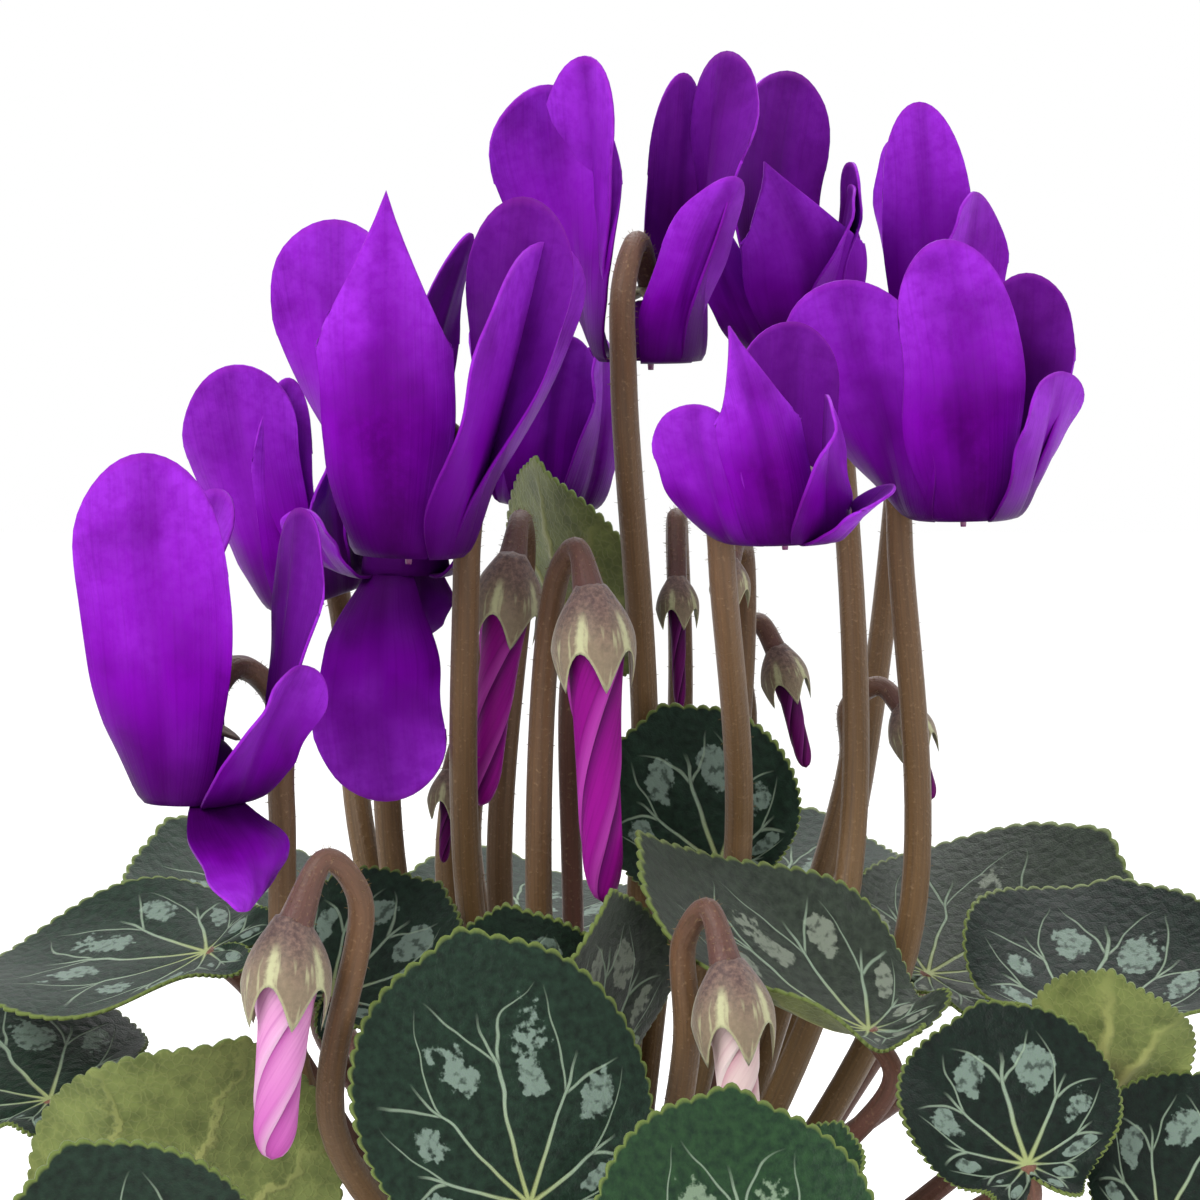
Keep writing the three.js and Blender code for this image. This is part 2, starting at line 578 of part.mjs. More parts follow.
function petalPoint(bloom, petal, along, across) {
  const [azimuth, length, width, flare, lean, twist, cup, point] = petal;
  const side = Math.abs(across);
  const rounded = PETAL_ROUND * (1 - Math.sqrt(Math.max(0, 1 - side * side)));
  const trim = mix(rounded, PETAL_POINT * side ** POINT_POWER, point);
  const share = along * (1 - trim * along * along);
  const run = share * length;
  const tilt = radians(flare);
  const turn = radians(twist) * share;
  const half = petalHalf(width, share);
  const bowed = run * (1 + PETAL_BOW * (1 - share));
  const radius = MOUTH_RADIUS + LIP_OUT * (1 - Math.exp(-run / LIP_OUT_LENGTH)) + bowed * Math.sin(tilt);
  const height = run * Math.cos(tilt) - LIP_DIP * (1 - Math.exp(-run / LIP_DIP_LENGTH));
  const cupped = cup * half * side ** FOLD_POWER * Math.min(1, FOLD_GROWTH * share);
  const fold = cupped + PETAL_SPIRAL * across * half * Math.min(1, SPIRAL_GROWTH * share);
  const flatOut = radius + across * half * Math.sin(turn) + fold * Math.cos(turn);
  const flatSide = across * half * Math.cos(turn) - fold * Math.sin(turn);
  const round = across * half / radius;
  const wrap = (1 - share) ** 2;
  const outward = mix(flatOut, (radius + fold) * Math.cos(round), wrap);
  const sideways = mix(flatSide, (radius + fold) * Math.sin(round), wrap) + lean * share * share;
  const spot = bloomPoint(bloom, radians(azimuth), outward, height);
  spot.addScaledVector(bloom.right, -Math.sin(radians(azimuth)) * sideways);
  return spot.addScaledVector(bloom.back, Math.cos(radians(azimuth)) * sideways);
}

function petal(bloom, values) {
  const columns = values[7] ? POINT_COLUMNS : ROUND_COLUMNS;
  const sheet = new THREE.PlaneGeometry(2, 1, columns, PETAL_ROWS);
  sheet.deleteAttribute('uv');
  sheet.deleteAttribute('normal');
  const place = sheet.attributes.position;
  for (let i = 0; i < place.count; i += 1) {
    const across = Math.sin(0.5 * Math.PI * place.getX(i));
    const spot = petalPoint(bloom, values, (place.getY(i) + 0.5) ** PETAL_ROW_POWER, across);
    place.setXYZ(i, spot.x, spot.y, spot.z);
  }
  return thicken(sheet, PETAL_THICKNESS);
}

// The short tube behind the mouth, open below and pierced above for the style.
function corollaTube(bloom) {
  const inner = MOUTH_RADIUS - TUBE_INSET;
  const outer = MOUTH_RADIUS + TUBE_OUTSET;
  const hole = STYLE_RADIUS + STYLE_CLEARANCE;
  const profile = [[inner, -TUBE_LIP], [outer, -TUBE_LIP], [hole, TUBE_TOP], [inner, -TUBE_LIP]];
  return turned(profile, TUBE_SIDES, bloom.mouth, bloom.up);
}

// Moves every second side of a ten-sided edge in, which leaves the points of five sepals.
function cutSepals(shape, isEdge, valley) {
  const place = shape.attributes.position;
  for (let i = 0; i < place.count; i += 1) {
    if (isEdge(place.getY(i))) {
      const between = 0.5 - 0.5 * Math.cos(5 * Math.atan2(place.getX(i), place.getZ(i)));
      const [inward, height] = valley(place.getY(i));
      const scale = mix(1, inward, between);
      place.setXYZ(i, place.getX(i) * scale, mix(place.getY(i), height, between), place.getZ(i) * scale);
    }
  }
  return shape;
}

function alongAxis(shape, origin, axis) {
  shape.applyQuaternion(new THREE.Quaternion().setFromUnitVectors(new THREE.Vector3(0, 1, 0), axis));
  return shape.translate(origin.x, origin.y, origin.z);
}

// The calyx of an open bloom: a five-pointed star that lies on the shoulder of the tube.
function calyxStar(bloom) {
  const middle = TUBE_TOP + CALYX_TOP;
  const edge = middle - CALYX_DROP;
  const profile = [[0, middle - CALYX_MIDDLE], [CALYX_RADIUS, edge - CALYX_EDGE], [CALYX_RADIUS, edge],
    [0, middle]];
  const shape = turned(profile, SEPAL_SIDES, new THREE.Vector3(), new THREE.Vector3(0, 1, 0));
  const isEdge = (height) => height < middle - CALYX_MIDDLE - 0.5 * GAP;
  cutSepals(shape, isEdge, (height) => [SEPAL_VALLEY, height + 0.5 * CALYX_DROP]);
  return alongAxis(shape, bloom.mouth, bloom.up);
}

// The calyx of a bud: a cup whose edge reaches down in five sepals.
function calyxCup(bud) {
  const radius = bud.radius;
  const inside = radius - SEPAL_THICKNESS;
  const tip = CUP_TIP * radius;
  const edge = CUP_TIP_WIDTH * radius;
  const profile = [[0, 0.5 * radius], [0.86 * inside, 0.3 * radius], [edge - SEPAL_THICKNESS, tip], [edge, tip],
    [radius, CUP_BELLY * radius], [0.8 * radius, 0.55 * radius], [0, radius]];
  const shape = turned(profile, SEPAL_SIDES, new THREE.Vector3(), new THREE.Vector3(0, 1, 0));
  cutSepals(shape, (height) => Math.abs(height - tip) < MERGE_DISTANCE, () => [CUP_VALLEY_WIDTH, CUP_VALLEY * radius]);
  return alongAxis(shape, vector(bud.calyx), budAxis(bud));
}

function scapePath(bloom, base) {
  const side = radians(bloom.stemSide);
  const way = vector(bloom.way);
  const beside = bloomPoint(bloom, side, bloom.standoff, -HOOK_FOOT);
  const rising = bloomPoint(bloom, side, bloom.standoff, HOOK_HEIGHT - HOOK_SHOULDER);
  const apex = bloomPoint(bloom, side, 0.5 * bloom.standoff, HOOK_HEIGHT);
  const down = bloomPoint(bloom, side, HOOK_CENTRE, TUBE_TOP + HOOK_END);
  return [base, collar(base), way, beside, rising, apex, down];
}

function scape(bloom, base) {
  const path = scapePath(bloom, base);
  const radii = (at) => mix(SCAPE_BASE, SCAPE_TOP, Math.min(1, at * SCAPE_TAPER));
  const tube = stem(path, radii, SCAPE_STEPS, STEM_SIDES);
  const top = TUBE_TOP + HOOK_END;
  const profile = [[0, -TUBE_LIP - STYLE_TIP], [STYLE_RADIUS, -TUBE_LIP], [STYLE_RADIUS, top], [0, top]];
  const style = turned(profile, STYLE_SIDES, bloom.mouth, bloom.up);
  return join([toSolid(tube), toSolid(calyxStar(bloom)), toSolid(style)]);
}

function corolla(bloom) {
  const petals = bloom.petals.map((values) => toSolid(petal(bloom, values)));
  return join([toSolid(corollaTube(bloom)), ...petals]);
}

// ---- Buds ----
function budAxis(bud) {
  return vector(bud.calyx).sub(vector(bud.tip)).normalize();
}

function budPath(bud, base) {
  const hook = vector(bud.hook);
  const calyx = vector(bud.calyx).addScaledVector(budAxis(bud), BUD_NECK * bud.radius);
  const way = bud.way.map(vector);
  const last = way[way.length - 1];
  const shoulder = last.clone().lerp(hook, BUD_SHOULDER);
  const back = hook.clone().sub(calyx);
  back.z = 0;
  shoulder.addScaledVector(back, BUD_SHOULDER_OUT);
  shoulder.z = hook.z - BUD_SHOULDER_OUT * bud.radius;
  return [base, collar(base), ...way, shoulder, hook, calyx];
}

function budScape(bud, base) {
  const radii = (at) => mix(SCAPE_BASE, BUD_SCAPE_TOP, Math.min(1, at * BUD_TAPER));
  const tube = stem(budPath(bud, base), radii, BUD_STEPS, STEM_SIDES);
  return join([toSolid(tube), toSolid(calyxCup(bud))]);
}

// The furled corolla: a fluted spindle, its flutes wound round the bud, its top inside the calyx.
function budCorolla(bud) {
  const axis = budAxis(bud);
  const length = vector(bud.calyx).distanceTo(vector(bud.tip));
  const full = bud.radius - SEPAL_THICKNESS - 4 * GAP;
  const top = BUD_TOP * bud.radius;
  const shape = new THREE.CylinderGeometry(1, 1, 1, BUD_SIDES, BUD_ROWS);
  const place = shape.attributes.position;
  for (let i = 0; i < place.count; i += 1) {
    const share = 0.5 - place.getY(i);
    const narrowed = mix(full, BUD_NARROW * full, share);
    const width = place.getY(i) > -0.5 ? narrowed : narrowed * BUD_TIP_WIDTH;
    const angle = Math.atan2(place.getZ(i), place.getX(i));
    const flute = 1 - BUD_FLUTE_DEPTH * (1 - Math.cos(BUD_FLUTES * angle));
    const ring = Math.hypot(place.getX(i), place.getZ(i)) * width * flute;
    const turn = angle + BUD_WIND * share;
    place.setXYZ(i, ring * Math.cos(turn), mix(top, -length, share), ring * Math.sin(turn));
  }
  shape.applyQuaternion(new THREE.Quaternion().setFromUnitVectors(new THREE.Vector3(0, 1, 0), axis));
  const centre = vector(bud.calyx);
  shape.translate(centre.x, centre.y, centre.z);
  return toSolid(shape);
}

// ---- Pot, soil and tuber ----
function potSolid() {
  const slope = (POT_TOP_RADIUS - POT_BASE_RADIUS) / POT_HEIGHT;
  const under = POT_HEIGHT - RIM_HEIGHT;
  const wallAt = (height) => POT_BASE_RADIUS + slope * height;
  const profile = [[0, 0], [POT_BASE_RADIUS, 0], [wallAt(under), under], [RIM_RADIUS, under + RIM_STEP],
    [RIM_RADIUS + RIM_FLARE, POT_HEIGHT], [POT_TOP_RADIUS - POT_WALL, POT_HEIGHT],
    [wallAt(POT_FLOOR) - POT_WALL, POT_FLOOR], [0, POT_FLOOR]];
  const body = toSolid(turned(profile, POT_SIDES, new THREE.Vector3(), UP));
  let holed = body;
  for (let i = 0; i < DRAIN_COUNT; i += 1) {
    const angle = 2 * Math.PI * (i + 0.5) / DRAIN_COUNT;
    const drill = new THREE.CylinderGeometry(DRAIN_RADIUS, DRAIN_RADIUS, 3 * POT_FLOOR, DRAIN_SIDES);
    drill.rotateX(0.5 * Math.PI);
    drill.translate(DRAIN_RING * Math.cos(angle), DRAIN_RING * Math.sin(angle), 0.5 * POT_FLOOR);
    holed = holed.subtract(toSolid(drill));
  }
  return holed;
}

function tuberSolid(swell = 0) {
  const steps = 2;
  const profile = [[0, TUBER_TOP + swell]];
  for (let i = 1; i <= steps; i += 1) {
    const radius = TUBER_RADIUS * i / steps;
    profile.push([radius + (i === steps ? swell : 0), tuberHeight(radius, 0) + swell]);
  }
  profile.push([TUBER_WAIST * TUBER_RADIUS + swell, TUBER_TOP - TUBER_WAIST_DEPTH * TUBER_DEPTH]);
  profile.push([0, TUBER_TOP - TUBER_DEPTH - swell]);
  profile.reverse();
  return toSolid(turned(profile, TUBER_SIDES, new THREE.Vector3(), UP));
}

function soilSolid() {
  const slope = (POT_TOP_RADIUS - POT_BASE_RADIUS) / POT_HEIGHT;
  const inside = (height) => POT_BASE_RADIUS + slope * height - POT_WALL - SOIL_CLEARANCE;
  const profile = [[0, POT_FLOOR + GAP], [inside(POT_FLOOR), POT_FLOOR + GAP], [inside(SOIL_TOP), SOIL_TOP],
    [TUBER_RADIUS + SOIL_CROWN, SOIL_TOP + SOIL_MOUND], [0, SOIL_TOP + SOIL_MOUND]];
  return toSolid(turned(profile, POT_SIDES, new THREE.Vector3(), UP));
}

// ---- The whole plant ----
function finish(name, solid, kind) {
  const [color, roughness] = FINISHES[kind];
  const material = new THREE.MeshStandardMaterial({ color, roughness, metalness: 0 });
  const mesh = new THREE.Mesh(toGeometry(solid), material);
  mesh.name = name;
  return mesh;
}

function cyclamen() {
  const plant = new THREE.Group();
  const blooms = BLOOMS.map(bloomFrame);
  const targets = [
    ...BLOOMS.map((bloom) => bloom.way),
    ...BUDS.map((bud) => bud.way[0]),
    ...LEAF_NODES.map((names) => LEAVES[names[0]][0]),
  ];
  const spots = crownSpots(targets);
  const sockets = [];
  const parts = [];
  const socket = (base) => {
    const drill = new THREE.CylinderGeometry(SOCKET_RADIUS, SOCKET_RADIUS, SOCKET_LENGTH, SOCKET_SIDES);
    drill.rotateX(0.5 * Math.PI);
    drill.translate(base.x, base.y, base.z + 0.5 * SOCKET_LENGTH - SOCKET_GAP);
    sockets.push(toSolid(drill));
  };
  spots.forEach(socket);
  blooms.forEach((bloom, i) => {
    parts.push(finish(`bloom_${bloom.name}_petals`, corolla(bloom), 'petal'));
    parts.push(finish(`bloom_${bloom.name}_scape`, scape(bloom, spots[i]), 'scape'));
  });
  BUDS.forEach((bud, i) => {
    parts.push(finish(`bud_${bud.name}_corolla`, budCorolla(bud), bud.colour));
    parts.push(finish(`bud_${bud.name}_scape`, budScape(bud, spots[BLOOMS.length + i]), 'scape'));
  });
  LEAF_NODES.forEach((names, i) => {
    const base = spots[BLOOMS.length + BUDS.length + i];
    parts.push(finish(`leaf_${names.join('_')}`, leafNode(names, base), 'blade'));
  });
  parts.push(finish('pot', potSolid(), 'pot'));
  parts.push(finish('tuber', tuberSolid().subtract(join(sockets)), 'tuber'));
  parts.push(finish('soil', soilSolid().subtract(tuberSolid(GAP)).subtract(join(sockets)), 'soil'));
  plant.add(...parts);
  return plant;
}

export default cyclamen();
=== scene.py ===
import logging
import math
from collections.abc import Callable
from dataclasses import dataclass
from enum import Enum
from random import Random

import bmesh
import bpy
from mathutils import Matrix, Quaternion, Vector, noise


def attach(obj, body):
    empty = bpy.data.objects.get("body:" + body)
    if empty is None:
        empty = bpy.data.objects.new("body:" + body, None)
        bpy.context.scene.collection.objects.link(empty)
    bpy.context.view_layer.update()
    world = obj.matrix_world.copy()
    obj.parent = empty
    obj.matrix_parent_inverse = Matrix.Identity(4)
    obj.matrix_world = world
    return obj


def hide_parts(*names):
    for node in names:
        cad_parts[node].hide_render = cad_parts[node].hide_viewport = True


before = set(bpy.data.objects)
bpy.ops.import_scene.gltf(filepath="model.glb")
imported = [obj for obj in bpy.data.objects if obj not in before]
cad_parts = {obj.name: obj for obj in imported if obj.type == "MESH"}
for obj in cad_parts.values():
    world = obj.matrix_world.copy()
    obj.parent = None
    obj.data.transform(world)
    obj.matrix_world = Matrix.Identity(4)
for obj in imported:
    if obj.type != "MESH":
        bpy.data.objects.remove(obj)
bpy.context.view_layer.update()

log = logging.getLogger("cyclamen")
MM = 0.001
TAU = 2 * math.pi
WELD = 1e-4
TINY = 1e-4

# ---- Sizes shared with the solids ----
POT_HEIGHT = 105.0
POT_TOP_RADIUS = 60.0
POT_BASE_RADIUS = 43.0
POT_WALL = 2.4
POT_FLOOR = 3.0
RIM_HEIGHT = 16.0
RIM_RADIUS = 63.0
DRAIN_RADIUS = 4.0
DRAIN_RING = 24.0
DRAIN_COUNT = 4
SOIL_TOP = 93.0
SOIL_MOUND = 2.0
SOIL_CROWN = 8.0
SOIL_CLEARANCE = 0.9
GAP = 0.3
TUBER_RADIUS = 31.0
TUBER_TOP = 101.0
TUBER_DEPTH = 26.0
STEM_SUNK = 4.0
COLLAR_LEAN = 1.02
COLLAR_RISE = 3.0
CROWN_SCALE = 0.36
CROWN_ROUNDS = 220
CROWN_SPACE = 1.0
SCAPE_BASE = 2.45
SCAPE_TOP = 1.75
BUD_SCAPE_TOP = 1.55
PETIOLE_BASE = 1.75
PETIOLE_TOP = 1.1
PETIOLE_TUCK = 0.1
PETIOLE_DROP = 0.3
PETIOLE_BACK = 0.22
ELBOW_SHARE = 0.55
ELBOW_RISE = 0.62
ELBOW_CLEARANCE = 7.0
SCAPE_TAPER = 1.3
BUD_TAPER = 1.2
BLADE_OFFSET = 0.68
CUP_POWER = 1.5
WAVE_COUNT = 5
WAVE_POWER = 3
LOBE_SWELL = 0.5
LOBE_ANGLE = 0.62
LOBE_SPREAD = 0.12
TIP_LENGTH = 0.05
TIP_ANGLE = 0.1
NOTCH_DEPTH = 0.62
NOTCH_WIDTH = 0.26
MOUTH_RADIUS = 6.4
PETAL_BASE_HALF = 3.9
PETAL_SPIRAL = -0.2
PETAL_SPREAD = 0.42
PETAL_ROUND = 0.34
PETAL_POINT = 0.42
PETAL_BOW = 0.6
PETAL_FULLNESS = 0.72
LIP_OUT = 1.9
LIP_OUT_LENGTH = 1.6
LIP_DIP = 2.2
LIP_DIP_LENGTH = 1.4
FOLD_POWER = 1.6
FOLD_GROWTH = 3
SPIRAL_GROWTH = 4
TUBE_TOP = 8.6
STYLE_RADIUS = 0.75
CALYX_RADIUS = 6.8
CALYX_DROP = 3.2
CALYX_TOP = 2.8
SEPAL_COUNT = 5
SEPAL_VALLEY = 0.5
SEPAL_THICKNESS = 0.8
HOOK_HEIGHT = 17.5
HOOK_SHOULDER = 6.0
HOOK_FOOT = 3.0
HOOK_END = 2.0
HOOK_CENTRE = 0.2
BUD_TOP = 0.1
BUD_NECK = 0.75
BUD_SHOULDER = 0.8
BUD_SHOULDER_OUT = 0.9

# ---- Sizes of the finer pieces alone ----
MAIN_VEINS = 11
BLADE_WALL = 0.55
PETIOLE_SIDES = 12
PETIOLE_RINGS = 44
TWIN_STEP = (0.5, 0.25, 0.4)
HAIR_LENGTH = 0.6
HAIR_RADIUS = 0.05  # thicker than a real hair, so that it shows
HAIR_POINT = 0.3
HAIR_SUNK = 0.1
HAIR_LEAN = 0.5
BARE_PART = 3  # one part in three of a stalk, the lowest, has no hairs

Triple = tuple[float, float, float]


class BudColour(Enum):
    """How far a bud has coloured."""

    DARK = "dark"
    MAGENTA = "magenta"
    PINK = "pink"
    PALE = "pale"


@dataclass(frozen=True)
class PetalForm:
    """One petal's sizes, in millimetres and degrees."""

    azimuth: float
    length: float
    width: float
    flare: float
    lean: float
    twist: float
    cup: float
    point: float


@dataclass(frozen=True)
class BloomForm:
    """Where an open bloom hangs, and its petals."""

    name: str
    mouth: Triple
    rise: Triple
    stem_side: float
    standoff: float
    way: Triple
    petals: tuple[PetalForm, ...]


@dataclass(frozen=True)
class BudForm:
    """Where a bud hangs: top of its hook, calyx centre and corolla tip."""

    name: str
    hook: Triple
    calyx: Triple
    tip: Triple
    radius: float
    colour: BudColour
    way: Triple


@dataclass(frozen=True)
class LeafForm:
    """A blade's junction with its stalk, its two directions and its shape."""

    name: str
    junction: Triple
    tip: Triple
    face: Triple
    half: float
    long: float
    cup: float
    roll: float
    wave: float


def bloom_form(name: str, mouth: Triple, rise: Triple, stem_side: float, standoff: float, way: Triple,
               *petals: tuple[float, ...]) -> BloomForm:
    """Makes a bloom's form from its row of the table."""
    return BloomForm(name, mouth, rise, stem_side, standoff, way, tuple(PetalForm(*row) for row in petals))


BLOOMS = (
    bloom_form("a", (-27.4, -26, 219.5), (0.03, 0, 1), 50, 12.5, (-19.5, -5, 165),
               (175, 49.6, 21.9, 5, -5, -93, -0.02, 0), (-105, 54.9, 19.8, 11, 1.4, -12, -0.23, 1),
               (-23, 48.2, 30, 11, 6.5, 20, 0.11, 0), (-13, 53.9, 18.1, 7, 2.2, -93, 0.22, 0),
               (97, 48.1, 9.5, 4, -8.7, -46, 0.16, 0)),
    bloom_form("b", (7.6, 2, 246), (0, 0, 1), -110, 12, (7, 17, 178),
               (176, 43.5, 21.1, 9, 1.8, -114, 0.18, 0), (173, 47, 15.8, 1, 7.3, -51, 0.21, 0),
               (65, 44.9, 9.3, -1, -1.9, -40, 0.1, 0), (-23, 48, 15.3, 1, 7.8, -66, 0.16, 0),
               (-69, 29.7, 12.5, 8, 8, -2, -0.35, 0)),
    bloom_form("c", (31.5, 34, 246), (-0.02, 0.05, 1), 55, 11.2, (36.5, -2, 162),
               (-76, 32, 21.3, 15, -10.2, 1, -0.02, 1), (-52, 27.8, 17.1, 6, 1.3, -48, 0.08, 0),
               (-21, 31.3, 14.6, 2, -2, -27, -0.06, 0), (132, 47, 21.4, 2, -7.9, 20, -0.17, 0),
               (-135, 27.6, 9, 27, -0.8, -86, -0.08, 0)),
    bloom_form("d", (56, 50, 240), (0, 0.03, 1), 122, 11.5, (39, 45, 160),
               (-109, 47, 13.6, 3, -2, -12, 0.05, 0), (161, 41.5, 9, 1, 0.2, -60, 0.02, 0),
               (-84, 33.6, 16.5, 14, 1.2, -48, 0.14, 0), (15, 18.8, 10, 3, 0.3, -39, 0.11, 0),
               (68, 33.5, 9.8, 3, 0.4, -41, 0.1, 0)),
    bloom_form("e", (54, -4, 223), (-0.02, 0, 1), 138, 12, (46.5, 4, 156),
               (-166, 38.8, 22.1, 14, -0.2, -71, 0.14, 0), (-88, 43.7, 18, 6, -3.7, 3, 0.06, 0),
               (-28, 24.8, 18.6, 17, 0, 20, -0.01, 0), (5, 38, 15.5, 3, 2.3, -66, 0.1, 0),
               (85, 38, 11.9, 8, 0, -40, 0.09, 0)),
    bloom_form("f", (26, -36, 222.5), (-0.04, 0, 1), 146, 10.6, (20.5, -1, 168),
               (-151, 23.6, 13.7, 20, 3.9, -33, 0.02, 0), (-96, 33.8, 12.8, 13, -5.6, -33, -0.2, 1),
               (-47, 22.7, 16.2, 4, -0.8, -38, 0.15, 0), (-42, 11, 11.6, 31, 7.4, -48, -0.29, 0),
               (88, 32.4, 15.9, 6, -1.8, -4, 0.08, 0)),
    bloom_form("g", (-56.6, -38, 186), (-0.03, 0, 1), 52, 17, (-42.5, -30, 141),
               (-119, 51.7, 21.8, 2, 0, -31, -0.02, 0), (112, 44.9, 16, 5, -8, -113, -0.05, 0),
               (-2, 43.4, 11.3, 10, 0.8, -46, 0.05, 0), (-46, 22.5, 16.6, 19, 6.3, -9, 0.31, 0),
               (-60, 24, 18.8, 111, -7, -43, -0.16, 0)),
    bloom_form("h", (-44, 26, 208), (-0.3, 0, 1), 80, 10.6, (-36, 14, 168),
               (-142, 40.8, 19.6, 1, 7.9, -35, -0.17, 0), (-104, 36.4, 9.5, -2, 7.8, -28, 0.02, 0),
               (-54, 27.6, 21.2, 13, 2.2, -36, 0.2, 0), (6, 30, 13.6, 10, 0, -40, 0.1, 0),
               (137, 27.1, 9, 3, -0.5, -46, 0.07, 0)),
    bloom_form("i", (-8.6, 38, 221.5), (0.08, 0, 1), 110, 10.6, (-24, 28, 165),
               (-89, 30.1, 15.3, 10, 1.1, -35, 0.07, 0), (-51, 31.9, 12.4, 18, -6.5, -27, 0.1, 0),
               (63, 27.6, 11.1, 10, 0.1, -39, 0.1, 0), (161, 33.2, 14.5, 8, -0.3, -32, 0.07, 0),
               (-153, 33, 11.3, 1, 0.8, -36, 0.07, 0)),
    bloom_form("j", (-29.5, 2, 214), (0, 0, 1), 105, 12, (-31, 8, 163),
               (-110, 31, 19.2, 170, 2.8, -15, -0.08, 0), (-16, 22.4, 10.1, 7, -0.1, -34, 0.12, 0),
               (70, 10.1, 9, 177, 3.1, -72, 0.07, 0), (151, 22, 12.1, 4, 0.1, -41, 0.1, 0),
               (-166, 13.9, 12, 30, 0, -20, 0.12, 0)),
)

BUDS = (
    BudForm("k", (-37.2, -61, 181), (-42.4, -63, 166), (-44.4, -66, 140.7), 6.2, BudColour.PINK,
            (-37, -54, 142.5)),
    BudForm("l", (-12, 0, 222), (-13.8, -6, 211), (-18, -2, 179), 5.5, BudColour.MAGENTA,
            (-15.2, 6, 162)),
    BudForm("m", (-3.4, -18, 219.5), (-1, -22.5, 207), (0.6, -22.5, 168), 6.2, BudColour.MAGENTA,
            (-8.8, -14, 158.5)),
    BudForm("n", (15, -49, 172), (18.3, -53, 158.5), (19.6, -55, 142), 5.9, BudColour.PALE,
            (12.2, -44, 152)),
    BudForm("o", (12, 26, 220), (12, 20.5, 207.5), (12.4, 19.5, 190.8), 3.4, BudColour.DARK,
            (12.5, 29, 185)),
    BudForm("p", (21, 16, 217.5), (19.8, 10.5, 211.5), (20, 10, 200), 3.2, BudColour.DARK,
            (21.5, 18, 190)),
    BudForm("q", (25, 33, 203), (29, 31, 195), (32.7, 31, 180), 3.9, BudColour.DARK,
            (23, 34, 187)),
    BudForm("r", (44.6, 37, 192.3), (49.5, 35, 185.6), (52.9, 35, 174.2), 3.9, BudColour.DARK,
            (40.2, 38, 180)),
    BudForm("s", (-21.5, 18, 186), (-23.4, 13, 178.5), (-24.1, 12, 168), 3.2, BudColour.DARK,
            (-20.4, 20, 168)),
)

